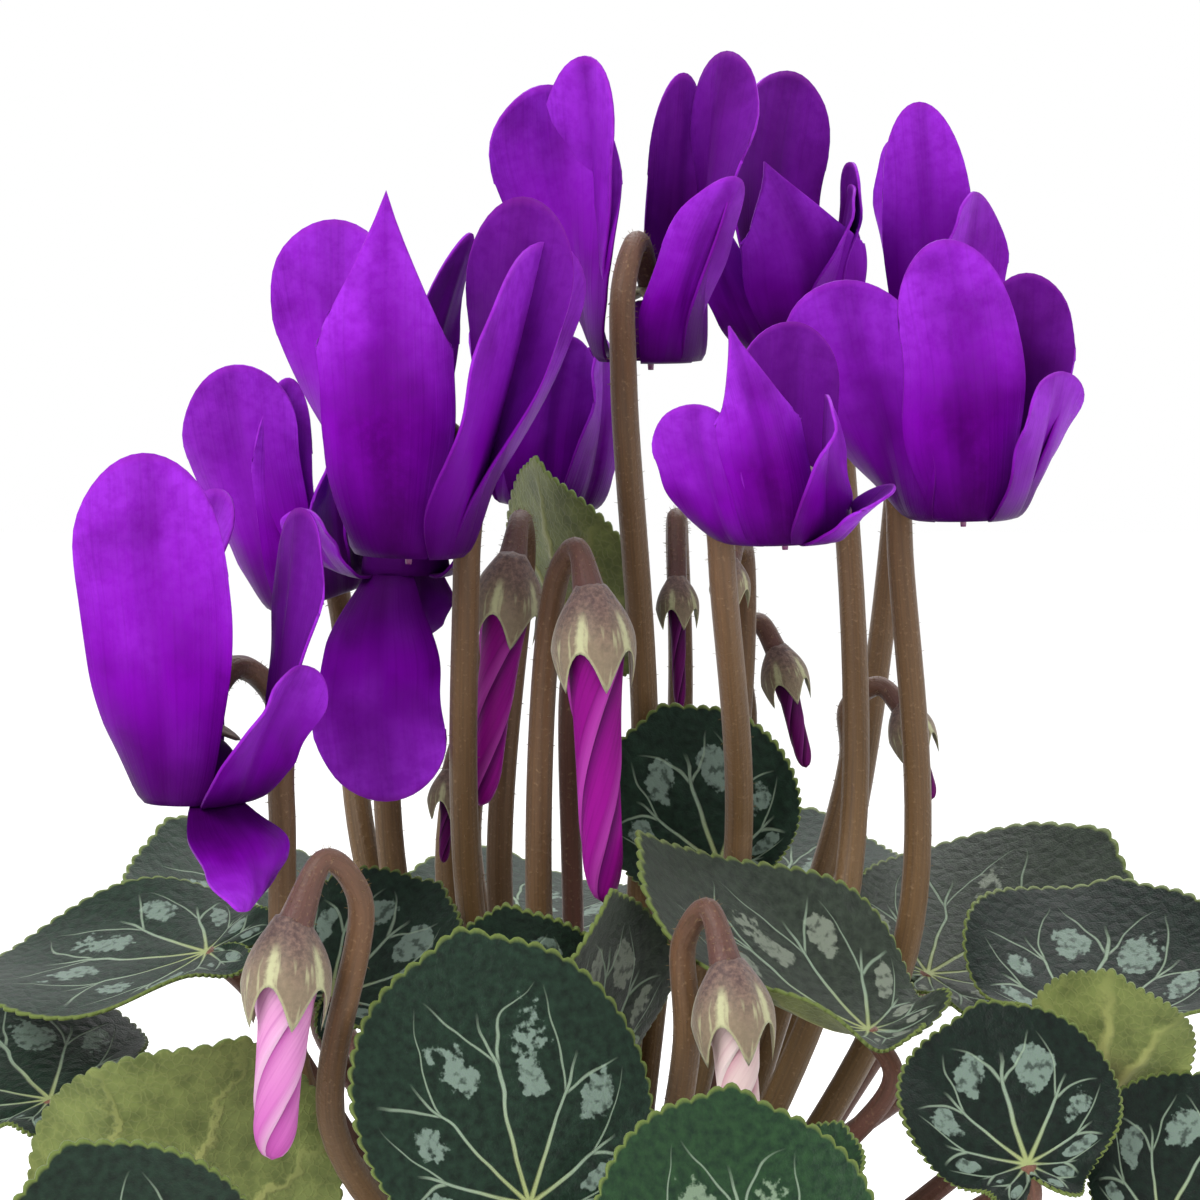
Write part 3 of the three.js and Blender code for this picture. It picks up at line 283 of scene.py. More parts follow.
LEAVES = {form.name: form for form in (
    LeafForm("l01", (-56.9, -26, 161.3), (-0.93, 0.3, -0.2), (-0.14, -0.24, 0.96),
             20.8, 1, 0.08, 0.06, 0.06),
    LeafForm("l02", (-78.5, -36.4, 141.9), (-0.53, 0.83, 0.19), (-0.02, -0.37, 0.93),
             19.8, 0.98, 0.07, -0.03, 0.08),
    LeafForm("l03", (-62.9, -50.2, 120), (0.39, -0.26, 0.88), (-0.12, 0.94, 0.33),
             21.8, 0.98, 0.11, 0.06, 0.1),
    LeafForm("l04", (-58.2, -77.5, 119.2), (-0.39, -0.11, 0.92), (-0.19, -0.7, 0.69),
             18, 1.01, 0.21, -0.03, 0.12),
    LeafForm("l05", (-9.6, -66.7, 134.6), (-0.27, 0.44, 0.86), (0.18, -0.81, 0.55),
             21, 1.06, 0.06, -0.01, 0.05),
    LeafForm("l06", (-9.2, -20, 148.1), (-0.2, -0.2, 0.96), (-0.14, -0.94, 0.32),
             12.5, 0.99, 0.09, -0.01, 0.1),
    LeafForm("l07", (-2.9, 20.6, 201.7), (-0.46, -0.3, 0.83), (0.81, 0.53, 0.25),
             15.6, 1.03, 0.25, -0.01, 0.08),
    LeafForm("l08", (18.3, 6, 168.7), (-0.31, 0.17, 0.94), (-0.41, -0.89, 0.23),
             16.5, 0.89, 0.08, -0.03, 0.05),
    LeafForm("l09", (38.7, -30.6, 150.8), (-0.92, 0.36, 0.15), (0.06, -0.19, 0.98),
             19.9, 1.08, 0.44, 0.05, 0.1),
    LeafForm("l10", (-0.3, -36, 146.2), (0.02, -0.11, 0.99), (0.74, -0.53, 0.41),
             14.9, 1.03, 0.06, 0.02, 0.1),
    LeafForm("l11", (51.4, 21.9, 148.5), (0.71, 0.69, 0.12), (0.04, -0.4, 0.91),
             23.5, 0.98, 0.24, -0.08, 0.08),
    LeafForm("l12", (72.8, -9.8, 147.7), (0.21, 0.95, 0.23), (0.04, -0.37, 0.93),
             20.8, 0.9, 0.21, 0.01, 0.08),
    LeafForm("l13", (72.6, -28.9, 140.4), (-0.04, -0.47, 0.88), (0.26, 0.77, 0.59),
             12.3, 0.93, 0.18, 0.04, 0.1),
    LeafForm("l14", (59.4, -51.9, 136.4), (-0.23, 0.65, 0.73), (0.13, -0.9, 0.42),
             16, 0.88, 0.08, 0.03, 0.08),
    LeafForm("l15", (78.5, -48.9, 126.2), (0.47, 0.66, 0.58), (0.09, -0.83, 0.56),
             15, 1.06, 0.09, 0, 0.08),
    LeafForm("l16", (17.9, -83.2, 119.5), (-0.04, 0.61, 0.79), (0.2, -0.55, 0.81),
             19.7, 1.02, 0.15, -0.01, 0.07),
    LeafForm("l17", (25.4, -63.7, 130.6), (0.58, 0.43, 0.69), (-0.36, -0.3, 0.88),
             8.9, 1.03, 0.13, 0, 0.1),
    LeafForm("l18", (-39.7, -15.6, 152.8), (0.67, 0.48, 0.56), (0.23, -0.45, 0.86),
             13.4, 1.01, 0.12, 0, 0.1),
    LeafForm("b01", (-48, 44, 150), (-0.6, 0.6, 0.2), (-0.2, 0.1, 0.95),
             21, 1, 0.12, 0, 0.1),
    LeafForm("b02", (-12, 62, 146), (-0.15, 0.9, 0.05), (0, 0.15, 0.95),
             22, 1, 0.12, 0, 0.1),
    LeafForm("b03", (26, 60, 152), (0.3, 0.9, 0.1), (0, 0.1, 0.98),
             21, 1, 0.12, 0, 0.1),
    LeafForm("b04", (62, 40, 140), (0.8, 0.5, 0.1), (0.1, 0, 0.98),
             20, 1, 0.12, 0, 0.1),
    LeafForm("b05", (-76, 6, 134), (-0.9, 0.3, 0.05), (-0.2, 0, 0.95),
             18, 1, 0.1, 0, 0.1),
)}

LEAF_NODES = (
    ("l01",), ("l02",), ("l03",), ("l04",), ("l05",), ("l06",), ("l08",), ("l09",), ("l10",), ("l11",),
    ("l12",), ("l13",), ("l14",), ("l15",), ("l18",),
    ("l16", "l17"), ("b01", "b05"), ("b02", "l07"), ("b03", "b04"),
)


# ---- Small sums ----
def mix(start: float, end: float, share: float) -> float:
    """Goes from start to end as share goes from 0 to 1."""
    return start + (end - start) * share


def hump(share: float) -> float:
    """0 at both ends and 1 halfway."""
    return share * (1 - share) * 4


def bunched(across: float) -> float:
    """Spreads 0 to 1 over -1 to 1, closer together towards both ends."""
    return math.sin(math.pi * (across - 0.5))


def rippled(wave: Triple, along: float, across: float, phase: float) -> float:
    """Height of a sine wave on a sheet.

    Args:
        wave: its height, and its radians to a run of 1 along and across.
        along: the place along the sheet.
        across: the place across the sheet.
        phase: where the wave starts, in radians.

    Returns:
        The height.
    """
    height, lengthwise, crosswise = wave
    return height * math.sin(lengthwise * along + crosswise * across + phase)


def linear(hex_colour: str) -> tuple[float, float, float, float]:
    """Turns an sRGB hex colour into linear red, green, blue and alpha."""
    parts = [int(hex_colour[at:at + 2], 16) / 255 for at in (1, 3, 5)]
    return (*(v / 12.92 if v <= 0.04045 else ((v + 0.055) / 1.055) ** 2.4 for v in parts), 1.0)


def square_to(direction: Vector, along: Vector) -> Vector:
    """The part of a direction that is square to another, one long."""
    return (direction - along * direction.dot(along)).normalized()


def spun(radius: float, angle: float, height: float) -> Vector:
    """The point at a radius and an angle round the upright axis, at a height."""
    return Vector((radius * math.cos(angle), radius * math.sin(angle), height))


def ring_angle(around: float, sides: int) -> float:
    """The angle of a ring's nearest corner, the same at both ends of the turn."""
    return TAU * (round(around * sides) % sides) / sides


class SmoothPath:
    """A centripetal Catmull-Rom curve through points."""

    def __init__(self, points: list[Vector]) -> None:
        """Keeps the points, with one more past each end."""
        first = points[0] * 2 - points[1]
        last = points[-1] * 2 - points[-2]
        self.points = [first, *points, last]
        self.count = len(points) - 1

    def point(self, share: float) -> Vector:
        """Finds a point of the curve.

        Args:
            share: 0 at the first point and 1 at the last.

        Returns:
            The place on the curve.
        """
        at = min(max(share, 0.0), 1.0) * self.count
        leg = min(int(at), self.count - 1)
        t = at - leg
        p0, p1, p2, p3 = self.points[leg:leg + 4]
        d0, d1, d2 = (max((q - p).length ** 0.5, TINY) for p, q in ((p0, p1), (p1, p2), (p2, p3)))
        m1 = ((p1 - p0) / d0 - (p2 - p0) / (d0 + d1) + (p2 - p1) / d1) * d1
        m2 = ((p2 - p1) / d1 - (p3 - p1) / (d1 + d2) + (p3 - p2) / d2) * d1
        c2 = p1 * -3 + p2 * 3 - m1 * 2 - m2
        c3 = p1 * 2 - p2 * 2 + m1 + m2
        return p1 + m1 * t + c2 * t * t + c3 * t * t * t

    def tangent(self, share: float) -> Vector:
        """The curve's direction at a share of its run."""
        return (self.point(share + TINY) - self.point(share - TINY)).normalized()


# ---- Material building ----
Feed = bpy.types.NodeSocket | float | tuple[float, ...]
Made = bpy.types.NodeSocket | tuple[bpy.types.NodeSocket, ...] | None
MATH = "Math"
RANGE = "MapRange"
BLEND = "Mix"
SPLIT = "SeparateXYZ"
JOIN = "CombineXYZ"
NOISE = "TexNoise"
CELLS = "TexVoronoi"
BODY = "BsdfPrincipled"


class Recipe:
    """A material and its node tree."""

    def __init__(self, name: str) -> None:
        """Starts an empty material of this name."""
        self.material = bpy.data.materials.new(name)
        self.material.use_nodes = True
        self.tree = self.material.node_tree
        self.tree.nodes.clear()

    def add(self, kind: str, feeds: dict[int | str, Feed] | None = None, out: int | str | tuple[int, ...] = 0,
            stops: tuple[tuple[float, str], ...] = (), **settings: object) -> Made:
        """Adds one node with its settings and links.

        Args:
            kind: the node's type, without its leading word.
            feeds: for each input, the socket that feeds it or its plain value.
            out: which output to hand back, or which outputs.
            stops: places and colours of a colour ramp.
            settings: the node's own properties.

        Returns:
            The chosen output or outputs, or None for a node without outputs.
        """
        made = self.tree.nodes.new("ShaderNode" + kind)
        for name, value in settings.items():
            setattr(made, name, value)
        for at, (place, colour) in enumerate(stops):
            ramp = made.color_ramp.elements
            stop = ramp[at] if at < len(ramp) else ramp.new(place)
            stop.position = place
            stop.color = linear(colour)
        for key, value in (feeds or {}).items():
            if isinstance(value, bpy.types.NodeSocket):
                self.tree.links.new(value, made.inputs[key])
            else:
                made.inputs[key].default_value = value
        if isinstance(out, tuple):
            return tuple(made.outputs[at] for at in out)
        return made.outputs[out] if len(made.outputs) else None

    def layers(self, ground: Feed, *rows: tuple[Made, float, float, float, str]) -> Made:
        """Lays colours over a ground, each one more as a value runs from one level to another.

        Args:
            ground: the lowest colour.
            rows: for each layer its value, the levels where it starts and is full, how much it covers where
                it is full, and its hex colour.

        Returns:
            The colour that is seen.
        """
        for value, start, full, cover, colour in rows:
            share = self.add(RANGE, {"Value": value, "From Min": start, "From Max": full, "To Max": cover})
            ground = self.add(BLEND, {0: share, 6: ground, 7: linear(colour)}, 2, data_type="RGBA")
        return ground


@dataclass(frozen=True)
class Finish:
    """What every finish has: a name for the real material and how its surface is made.

    Sizes, reliefs and depths are in millimetres. What is counted across or around is counted over the whole
    width or turn, and stretch counts the same pattern lengthwise.
    """

    name: str

    def make(self) -> bpy.types.Material:
        """Builds the material."""
        recipe = Recipe(self.name)
        recipe.add("OutputMaterial", {0: self.surface(recipe)})
        return recipe.material

    def surface(self, r: Recipe) -> Made:
        """Builds the surface.

        Args:
            r: the material's recipe.

        Returns:
            The surface shader's output.
        """
        raise NotImplementedError


def dressed(finish: Finish) -> bpy.types.Material:
    """The finish's material, made when it is first asked for."""
    return bpy.data.materials.get(finish.name) or finish.make()


@dataclass(frozen=True)
class SatinPetal(Finish):
    """Living petal, grown: satin skin with soft folds, mottling, fine lengthwise veins and a lighter rim, with
    painted shade in the fold hollows, along the crease, in broad patches and towards the mouth, and painted
    light on the fold tops and towards the tip.
    """

    body: str = "#690490"
    # light: painted light on the fold tops and towards the tip; shade: painted shade in the fold hollows and
    # broad patches
    light: str = "#9230C6"
    shade: str = "#44005A"
    vein: str = "#39004B"
    rim: str = "#842699"
    # throat_shade: painted shade at the mouth, where the petals' bases lie in the tube's shadow
    throat_shade: str = "#170019"
    gloss: str = "#D070FF"
    veins_across: float = 46.0
    folds_across: float = 2.4
    stretch: float = 1.6
    mottle_size: float = 1.8
    # size of the patches of painted shade
    cloud_size: float = 11.0
    fold_relief: float = 3.0
    relief: float = 0.22
    depth: float = 0.8

    def surface(self, r: Recipe) -> Made:
        """Builds the skin from the map "span": u across with the petal's number, v from mouth to tip."""
        u, along = r.add(SPLIT, {0: r.add("UVMap", uv_map="span")}, (0, 1))
        across = r.add(MATH, {0: u}, operation="FRACT")
        number = r.add(MATH, {0: u}, operation="FLOOR")
        slow = r.add(MATH, {0: along, 1: self.stretch}, operation="MULTIPLY")
        fine = r.add(MATH, {0: across, 1: self.veins_across}, operation="MULTIPLY")
        fine = r.add(JOIN, {0: fine, 1: slow, 2: number})
        veins = r.add(NOISE, {"Vector": fine, "Scale": 1.0, "Detail": 3.0})
        broad = r.add(MATH, {0: across, 1: self.folds_across}, operation="MULTIPLY")
        broad = r.add(JOIN, {0: broad, 1: slow, 2: number})
        folds = r.add(NOISE, {"Vector": broad, "Scale": 1.0, "Detail": 2.0})
        place = r.add("TexCoord", out="Object")
        mottle = r.add(NOISE, {
            "Vector": place, "Scale": 1 / (self.mottle_size * MM), "Detail": 5.0, "Roughness": 0.65})
        cloud = r.add(NOISE, {"Vector": place, "Scale": 1 / (self.cloud_size * MM), "Detail": 2.0})
        centred = r.add(MATH, {0: across, 1: 0.5}, operation="SUBTRACT")
        side = r.add(MATH, {0: centred}, operation="ABSOLUTE")
        near = r.add(RANGE, {
            "Value": side, "From Min": 0.44, "From Max": 0.47, "To Max": 0.2},
            interpolation_type="SMOOTHSTEP")
        high = r.add(RANGE, {
            "Value": along, "From Min": 0.97, "From Max": 1.0, "To Max": 0.3},
            interpolation_type="SMOOTHSTEP")
        edge = r.add(MATH, {0: near, 1: high}, operation="MAXIMUM")
        # painted shade along the petal's middle crease
        crease_shade = r.add(RANGE, {
            "Value": side, "From Min": 0.1, "From Max": 0.0, "To Max": 0.25},
            interpolation_type="SMOOTHSTEP")
        # painted shade towards the mouth, where the petals' bases lie in the tube's shadow
        low = r.add(RANGE, {
            "Value": along, "From Min": 0.45, "From Max": 0.0, "To Max": 0.8},
            interpolation_type="SMOOTHSTEP")
        # The ground is painted shade, which shows in the fold hollows; the fold tops get painted light.
        skin = r.layers(
            linear(self.shade),
            (folds, 0.22, 0.5, 1.0, self.body),
            (folds, 0.5, 0.78, 0.5, self.light),
            # painted light, lighter towards the tip
            (along, 0.4, 0.95, 0.7, self.light),
            (mottle, 0.42, 0.62, 0.4, self.body),
            # painted shade in broad patches
            (cloud, 0.5, 0.72, 0.5, self.shade),
            (veins, 0.5, 0.7, 0.14, self.vein),
            (crease_shade, 0.0, 1.0, 1.0, self.shade),
            (edge, 0.0, 1.0, 1.0, self.rim),
            (low, 0.0, 1.0, 1.0, self.throat_shade))
        height = r.add(MATH, {0: folds, 1: self.fold_relief, 2: veins}, operation="MULTIPLY_ADD")
        bump = r.add("Bump", {"Height": height, "Strength": 0.35, "Distance": self.relief * MM})
        rough = r.add(RANGE, {"Value": veins, "To Min": 0.42, "To Max": 0.58})
        return r.add(BODY, {
            "Base Color": skin, "Roughness": rough, "Normal": bump, "IOR": 1.36, "Specular IOR Level": 0.12,
            "Specular Tint": linear(self.gloss), "Sheen Weight": 0.02, "Sheen Roughness": 0.4,
            "Sheen Tint": linear(self.light), "Subsurface Weight": 0.1, "Subsurface Radius": (0.6, 0.1, 1.0),
            "Subsurface Scale": self.depth * MM})


@dataclass(frozen=True)
class FurledPetal(Finish):
    """Living bud petals, grown and wound: satin, with a painted highlight along each lap's edge and painted
    shade in the groove under it.
    """

    top: str = "#750083"
    tip: str = "#A326A6"
    # groove: the veins' darker colour, and painted shade under each lap
    groove: str = "#3C0048"
    # lip: painted highlight along each lap's edge
    lip: str = "#AD4FB3"
    veins_across: float = 9.0
    stretch: float = 1.6
    relief: float = 0.25
    depth: float = 1.0

    def surface(self, r: Recipe) -> Made:
        """Builds the skin from the map "span": u in laps round the bud, v from calyx to tip."""
        u, along = r.add(SPLIT, {0: r.add("UVMap", uv_map="span")}, (0, 1))
        lap = r.add(MATH, {0: u}, operation="FRACT")
        turn = r.add(MATH, {0: u, 1: self.veins_across}, operation="MULTIPLY")
        slow = r.add(MATH, {0: along, 1: self.stretch}, operation="MULTIPLY")
        veins = r.add(NOISE, {"Vector": r.add(JOIN, {0: turn, 1: slow}), "Scale": 1.3, "Detail": 3.0})
        skin = r.layers(
            linear(self.top),
            (along, 0.0, 1.0, 1.0, self.tip),
            (veins, 0.48, 0.68, 0.35, self.groove),
            # painted shade in the hollow under each lap
            (lap, 0.3, 0.0, 0.9, self.groove),
            # painted highlight along each lap's raised edge
            (lap, 0.7, 1.0, 0.7, self.lip))
        bump = r.add("Bump", {"Height": veins, "Strength": 0.4, "Distance": self.relief * MM})
        return r.add(BODY, {
            "Base Color": skin, "Roughness": 0.5, "Normal": bump, "IOR": 1.38, "Specular IOR Level": 0.12,
            "Sheen Weight": 0.02, "Sheen Tint": linear(self.tip), "Subsurface Weight": 0.12,
            "Subsurface Radius": (1.0, 0.4, 1.0), "Subsurface Scale": self.depth * MM})


@dataclass(frozen=True)
class StalkSkin(Finish):
    """Living stalk, grown: fleshy skin with fine ribs and flecks, ochre below and brown-red above."""

    base: str = "#68522D"
    middle: str = "#5A3E26"
    top: str = "#52342F"
    groove: str = "#372617"
    fleck: str = "#8C7254"
    ribs_around: float = 26.0
    stretch: float = 9.0
    fleck_size: float = 0.6  # coarser than the real glands, so that they show
    relief: float = 0.25
    depth: float = 1.0

    def surface(self, r: Recipe) -> Made:
        """Builds the skin from the map "span": u round the stalk, v from tuber to top."""
        around, along = r.add(SPLIT, {0: r.add("UVMap", uv_map="span")}, (0, 1))
        skin = r.add("ValToRGB", {0: along}, stops=((0.12, self.base), (0.55, self.middle), (0.95, self.top)))
        turn = r.add(MATH, {0: around, 1: self.ribs_around}, operation="MULTIPLY")
        slow = r.add(MATH, {0: along, 1: self.stretch}, operation="MULTIPLY")
        ribs = r.add(NOISE, {
            "Vector": r.add(JOIN, {0: turn, 1: slow}), "Scale": 1.0, "Detail": 4.0, "Roughness": 0.6})
        place = r.add("TexCoord", out="Object")
        grain = r.add(NOISE, {"Vector": place, "Scale": 1 / (self.fleck_size * MM), "Detail": 2.0})
        skin = r.layers(skin, (ribs, 0.45, 0.75, 0.6, self.groove), (grain, 0.6, 0.78, 0.45, self.fleck))
        height = r.add(MATH, {0: ribs, 1: grain}, operation="ADD")
        bump = r.add("Bump", {"Height": height, "Strength": 0.5, "Distance": self.relief * MM})
        return r.add(BODY, {
            "Base Color": skin, "Roughness": 0.48, "Normal": bump, "IOR": 1.4, "Specular IOR Level": 0.4,
            "Sheen Weight": 0.12, "Subsurface Weight": 0.06, "Subsurface Radius": (1.0, 0.5, 0.3),
            "Subsurface Scale": self.depth * MM})


@dataclass(frozen=True)
class SepalSkin(Finish):
    """Living sepals, grown: granular mauve-brown and tan, pale green between, along and at their lips."""

    body: str = "#6E574D"
    dark: str = "#493734"
    pale: str = "#A4A47E"
    tan: str = "#82765C"
    grain_size: float = 0.7  # coarser than the real skin's, so that it shows
    fray: float = 0.03
    ribs_around: float = 34.0
    stretch: float = 3.0
    relief: float = 0.3

    def surface(self, r: Recipe) -> Made:
        """Builds the skin from the map "span": u round the calyx, v from the stalk outwards."""
        around, along = r.add(SPLIT, {0: r.add("UVMap", uv_map="span")}, (0, 1))
        between = r.add(MATH, {0: around, 1: 0.5 / SEPAL_COUNT}, operation="PINGPONG")
        place = r.add("TexCoord", out="Object")
        grain = r.add(NOISE, {
            "Vector": place, "Scale": 1 / (self.grain_size * MM), "Detail": 3.0, "Roughness": 0.65})
        turn = r.add(MATH, {0: around, 1: self.ribs_around}, operation="MULTIPLY")
        slow = r.add(MATH, {0: along, 1: self.stretch}, operation="MULTIPLY")
        ribs = r.add(NOISE, {"Vector": r.add(JOIN, {0: turn, 1: slow}), "Scale": 1.0, "Detail": 2.0})
        low = r.add(RANGE, {"Value": along, "From Min": 0.24, "From Max": 0.34})
        frayed = r.add(MATH, {0: grain, 1: self.fray, 2: between}, operation="MULTIPLY_ADD")
        gap = r.add(RANGE, {"Value": frayed, "From Min": 0.088, "From Max": 0.108, "To Max": 0.9})
        gap = r.add(MATH, {0: gap, 1: low}, operation="MULTIPLY")
        rib = r.add(RANGE, {"Value": ribs, "From Min": 0.54, "From Max": 0.66, "To Max": 0.75})
        rib = r.add(MATH, {0: rib, 1: low}, operation="MULTIPLY")
        skin = r.layers(
            linear(self.dark),
            (grain, 0.38, 0.66, 1.0, self.body),
            (along, 0.15, 0.45, 0.55, self.tan),
            (gap, 0.0, 1.0, 1.0, self.pale),
            (rib, 0.0, 1.0, 1.0, self.pale),
            (along, 0.555, 0.59, 0.8, self.pale))
        bump = r.add("Bump", {"Height": grain, "Strength": 0.6, "Distance": self.relief * MM})
        return r.add(BODY, {
            "Base Color": skin, "Roughness": 0.56, "Normal": bump, "IOR": 1.4, "Specular IOR Level": 0.35,
            "Sheen Weight": 0.2})


@dataclass(frozen=True)
class StyleSkin(Finish):
    """Living style, grown: waxy and pale, with a purple point."""

    pale: str = "#B499A6"
    point: str = "#641255"
    grain_size: float = 0.5  # coarser than the real skin's, so that it shows
    fray: float = 0.2
    relief: float = 0.1
    depth: float = 1.0

    def surface(self, r: Recipe) -> Made:
        """Builds the skin from the map "span": v from the point upwards."""
        along = r.add(SPLIT, {0: r.add("UVMap", uv_map="span")}, 1)
        place = r.add("TexCoord", out="Object")
        grain = r.add(NOISE, {"Vector": place, "Scale": 1 / (self.grain_size * MM), "Detail": 2.0})
        frayed = r.add(MATH, {0: grain, 1: self.fray, 2: along}, operation="MULTIPLY_ADD")
        skin = r.layers(linear(self.pale), (frayed, 0.5, 0.2, 1.0, self.point))
        bump = r.add("Bump", {"Height": grain, "Strength": 0.3, "Distance": self.relief * MM})
        return r.add(BODY, {
            "Base Color": skin, "Roughness": 0.4, "Normal": bump, "Subsurface Weight": 0.1,
            "Subsurface Scale": self.depth * MM})


def vein_angle(r: Recipe, angle: Made, cloud: Made, sway: float) -> Made:
    """Finds the angle from a blade's nearest main vein; one of them runs to the tip.

    Args:
        r: the material's recipe.
        angle: the angle round the blade, in turns from its notch.
        cloud: a slow noise that bends the veins.
        sway: how far it bends them, in turns.

    Returns:
        The angle, in turns.
    """
    bend = r.add(RANGE, {"Value": cloud, "From Min": 0.3, "From Max": 0.7, "To Min": -sway, "To Max": sway})
    turned = r.add(MATH, {0: angle, 1: bend}, operation="ADD")
    shifted = r.add(MATH, {0: turned, 1: 0.5}, operation="SUBTRACT")
    return r.add(MATH, {0: shifted, 1: 0.5 / MAIN_VEINS}, operation="PINGPONG")


@dataclass(frozen=True)
class LeafFace(Finish):
    """Upper side of a living leaf, grown: waxy dark green, palmate silver veins that fork, patches between.

    The numbers of waves and cells are to the millimetre.
    """

    dark: str = "#0B1710"
    green: str = "#1A2D21"
    vein: str = "#869883"
    heart: str = "#929C66"
    silver: str = "#6E7F74"
    rim: str = "#68763A"
    sheen: float = 0.05
    cloud_waves: float = 0.09
    fleck_waves: float = 0.75
    wander_waves: float = 0.5
    net_cells: float = 0.42
    grain_waves: float = 3.2  # coarser than the real skin's cells, so that they show
    sway: float = 0.008
    vein_base: float = 0.36
    vein_tip: float = 0.16
    fork_reach: float = 0.5
    fork_spread: float = 0.72
    patch_reach: float = 0.62
    patch_narrow: float = 40.0
    patch_short: float = 6.0
    patch_cloud: float = 5.0
    patch_fleck: float = 1.6
    patch_cover: float = 0.8
    grain_relief: float = 0.35
    relief: float = 0.45
    depth: float = 1.0

    def veins(self, r: Recipe, off: Made, reach: Made, plate: Made) -> Made:
        """Draws the main veins and the arms into which each forks past the middle of its run.

        Args:
            r: the material's recipe.
            off: the angle from the nearest main vein, in turns.
            reach: 0 at the blade's junction and 1 at its edge.
            plate: the place on the flat blade, in millimetres.

        Returns:
            1 on a vein and 0 off it.
        """
        distance = r.add("VectorMath", {0: plate}, "Value", operation="LENGTH")
        off_angle = r.add(MATH, {0: off, 1: TAU}, operation="MULTIPLY")
        off_mm = r.add(MATH, {0: off_angle, 1: distance}, operation="MULTIPLY")
        thin = r.add(RANGE, {
            "Value": reach, "From Min": 0.0, "From Max": 0.86,
            "To Min": self.vein_base, "To Max": self.vein_tip})
        main = r.add(MATH, {0: off_mm, 1: thin}, operation="DIVIDE")
        main = r.add(RANGE, {"Value": main, "From Min": 1.25, "From Max": 0.65})
        fade = r.add(RANGE, {"Value": reach, "From Min": 0.7, "From Max": 0.6})
        main = r.add(MATH, {0: main, 1: fade}, operation="MULTIPLY")
        past = r.add(MATH, {0: reach, 1: self.fork_reach}, operation="SUBTRACT")
        past = r.add(MATH, {0: past, 1: 0.0}, operation="MAXIMUM")
        spread = r.add(MATH, {0: past, 1: distance}, operation="MULTIPLY")
        spread = r.add(MATH, {0: spread, 1: self.fork_spread}, operation="MULTIPLY")
        arm = r.add(MATH, {0: off_mm, 1: spread}, operation="SUBTRACT")
        arm = r.add(MATH, {0: arm}, operation="ABSOLUTE")
        arm = r.add(MATH, {0: arm, 1: thin}, operation="DIVIDE")
        arm = r.add(RANGE, {"Value": arm, "From Min": 1.15, "From Max": 0.5})
        arm_on = r.add(RANGE, {"Value": reach, "From Min": self.fork_reach, "From Max": 0.54})
        arm_off = r.add(RANGE, {"Value": reach, "From Min": 0.86, "From Max": 0.76})
        for share in (arm_on, arm_off):
            arm = r.add(MATH, {0: arm, 1: share}, operation="MULTIPLY")
        return r.add(MATH, {0: main, 1: arm}, operation="MAXIMUM")

    def patches(self, r: Recipe, off: Made, reach: Made, cloud: Made, fleck: Made) -> Made:
        """Draws a ragged oval patch between each pair of veins, past the middle, now and then missing.

        Args:
            r: the material's recipe.
            off: the angle from the nearest main vein, in turns.
            reach: 0 at the blade's junction and 1 at its edge.
            cloud: a slow noise that makes patches larger or leaves them out.
            fleck: a fine noise that frays them.

        Returns:
            1 on a patch and 0 off it.
        """
        aside = r.add(MATH, {0: off, 1: -self.patch_narrow, 2: self.patch_narrow * 0.5 / MAIN_VEINS},
                      operation="MULTIPLY_ADD")
        beyond = r.add(MATH, {0: reach, 1: self.patch_short, 2: -self.patch_short * self.patch_reach},
                       operation="MULTIPLY_ADD")
        oval = r.add(MATH, {0: aside, 1: aside}, operation="MULTIPLY")
        oval = r.add(MATH, {0: beyond, 1: beyond, 2: oval}, operation="MULTIPLY_ADD")
        field = r.add(MATH, {0: cloud, 1: self.patch_cloud}, operation="MULTIPLY")
        field = r.add(MATH, {0: fleck, 1: self.patch_fleck, 2: field}, operation="MULTIPLY_ADD")
        field = r.add(MATH, {0: field, 1: oval}, operation="SUBTRACT")
        patch = r.add(RANGE, {"Value": field, "From Min": 2.65, "From Max": 2.85})
        speck = r.add(RANGE, {
            "Value": fleck, "From Min": 0.36, "From Max": 0.5, "To Min": 0.3, "To Max": 1.0})
        return r.add(MATH, {0: patch, 1: speck}, operation="MULTIPLY")

    def surface(self, r: Recipe) -> Made:
        """Builds the face from two maps: span (angle, reach) and plate (millimetres along and across)."""
        angle, reach = r.add(SPLIT, {0: r.add("UVMap", uv_map="span")}, (0, 1))
        plate = r.add("UVMap", uv_map="plate")
        cloud = r.add(NOISE, {"Vector": plate, "Scale": self.cloud_waves, "Detail": 1.5})
        fleck = r.add(NOISE, {"Vector": plate, "Scale": self.fleck_waves, "Detail": 3.0})
        off = vein_angle(r, angle, cloud, self.sway)
        veins = self.veins(r, off, reach, plate)
        patch = self.patches(r, off, reach, cloud, fleck)
        wander = r.add(NOISE, {"Vector": plate, "Scale": self.wander_waves}, "Color")
        bent = r.add("VectorMath", {0: plate, 1: wander}, operation="ADD")
        net = r.add(CELLS, {"Vector": bent, "Scale": self.net_cells}, feature="DISTANCE_TO_EDGE")
        skin = r.layers(
            linear(self.dark),
            (fleck, 0.3, 0.7, 1.0, self.green),
            (net, 0.09, 0.0, 0.25, self.green),
            (patch, 0.0, 1.0, self.patch_cover, self.silver))
        line = r.layers(linear(self.vein), (reach, 0.4, 0.05, 1.0, self.heart))
        weaker = r.add(RANGE, {
            "Value": reach, "From Min": 0.3, "From Max": 0.85, "To Min": 0.85, "To Max": 0.5})
        vein_tone = r.add(MATH, {0: veins, 1: weaker}, operation="MULTIPLY")
        skin = r.add(BLEND, {0: vein_tone, 6: skin, 7: line}, 2, data_type="RGBA")
        skin = r.layers(skin, (reach, 0.98, 0.996, 0.75, self.rim))
        grain = r.add(NOISE, {"Vector": plate, "Scale": self.grain_waves, "Detail": 2.0})
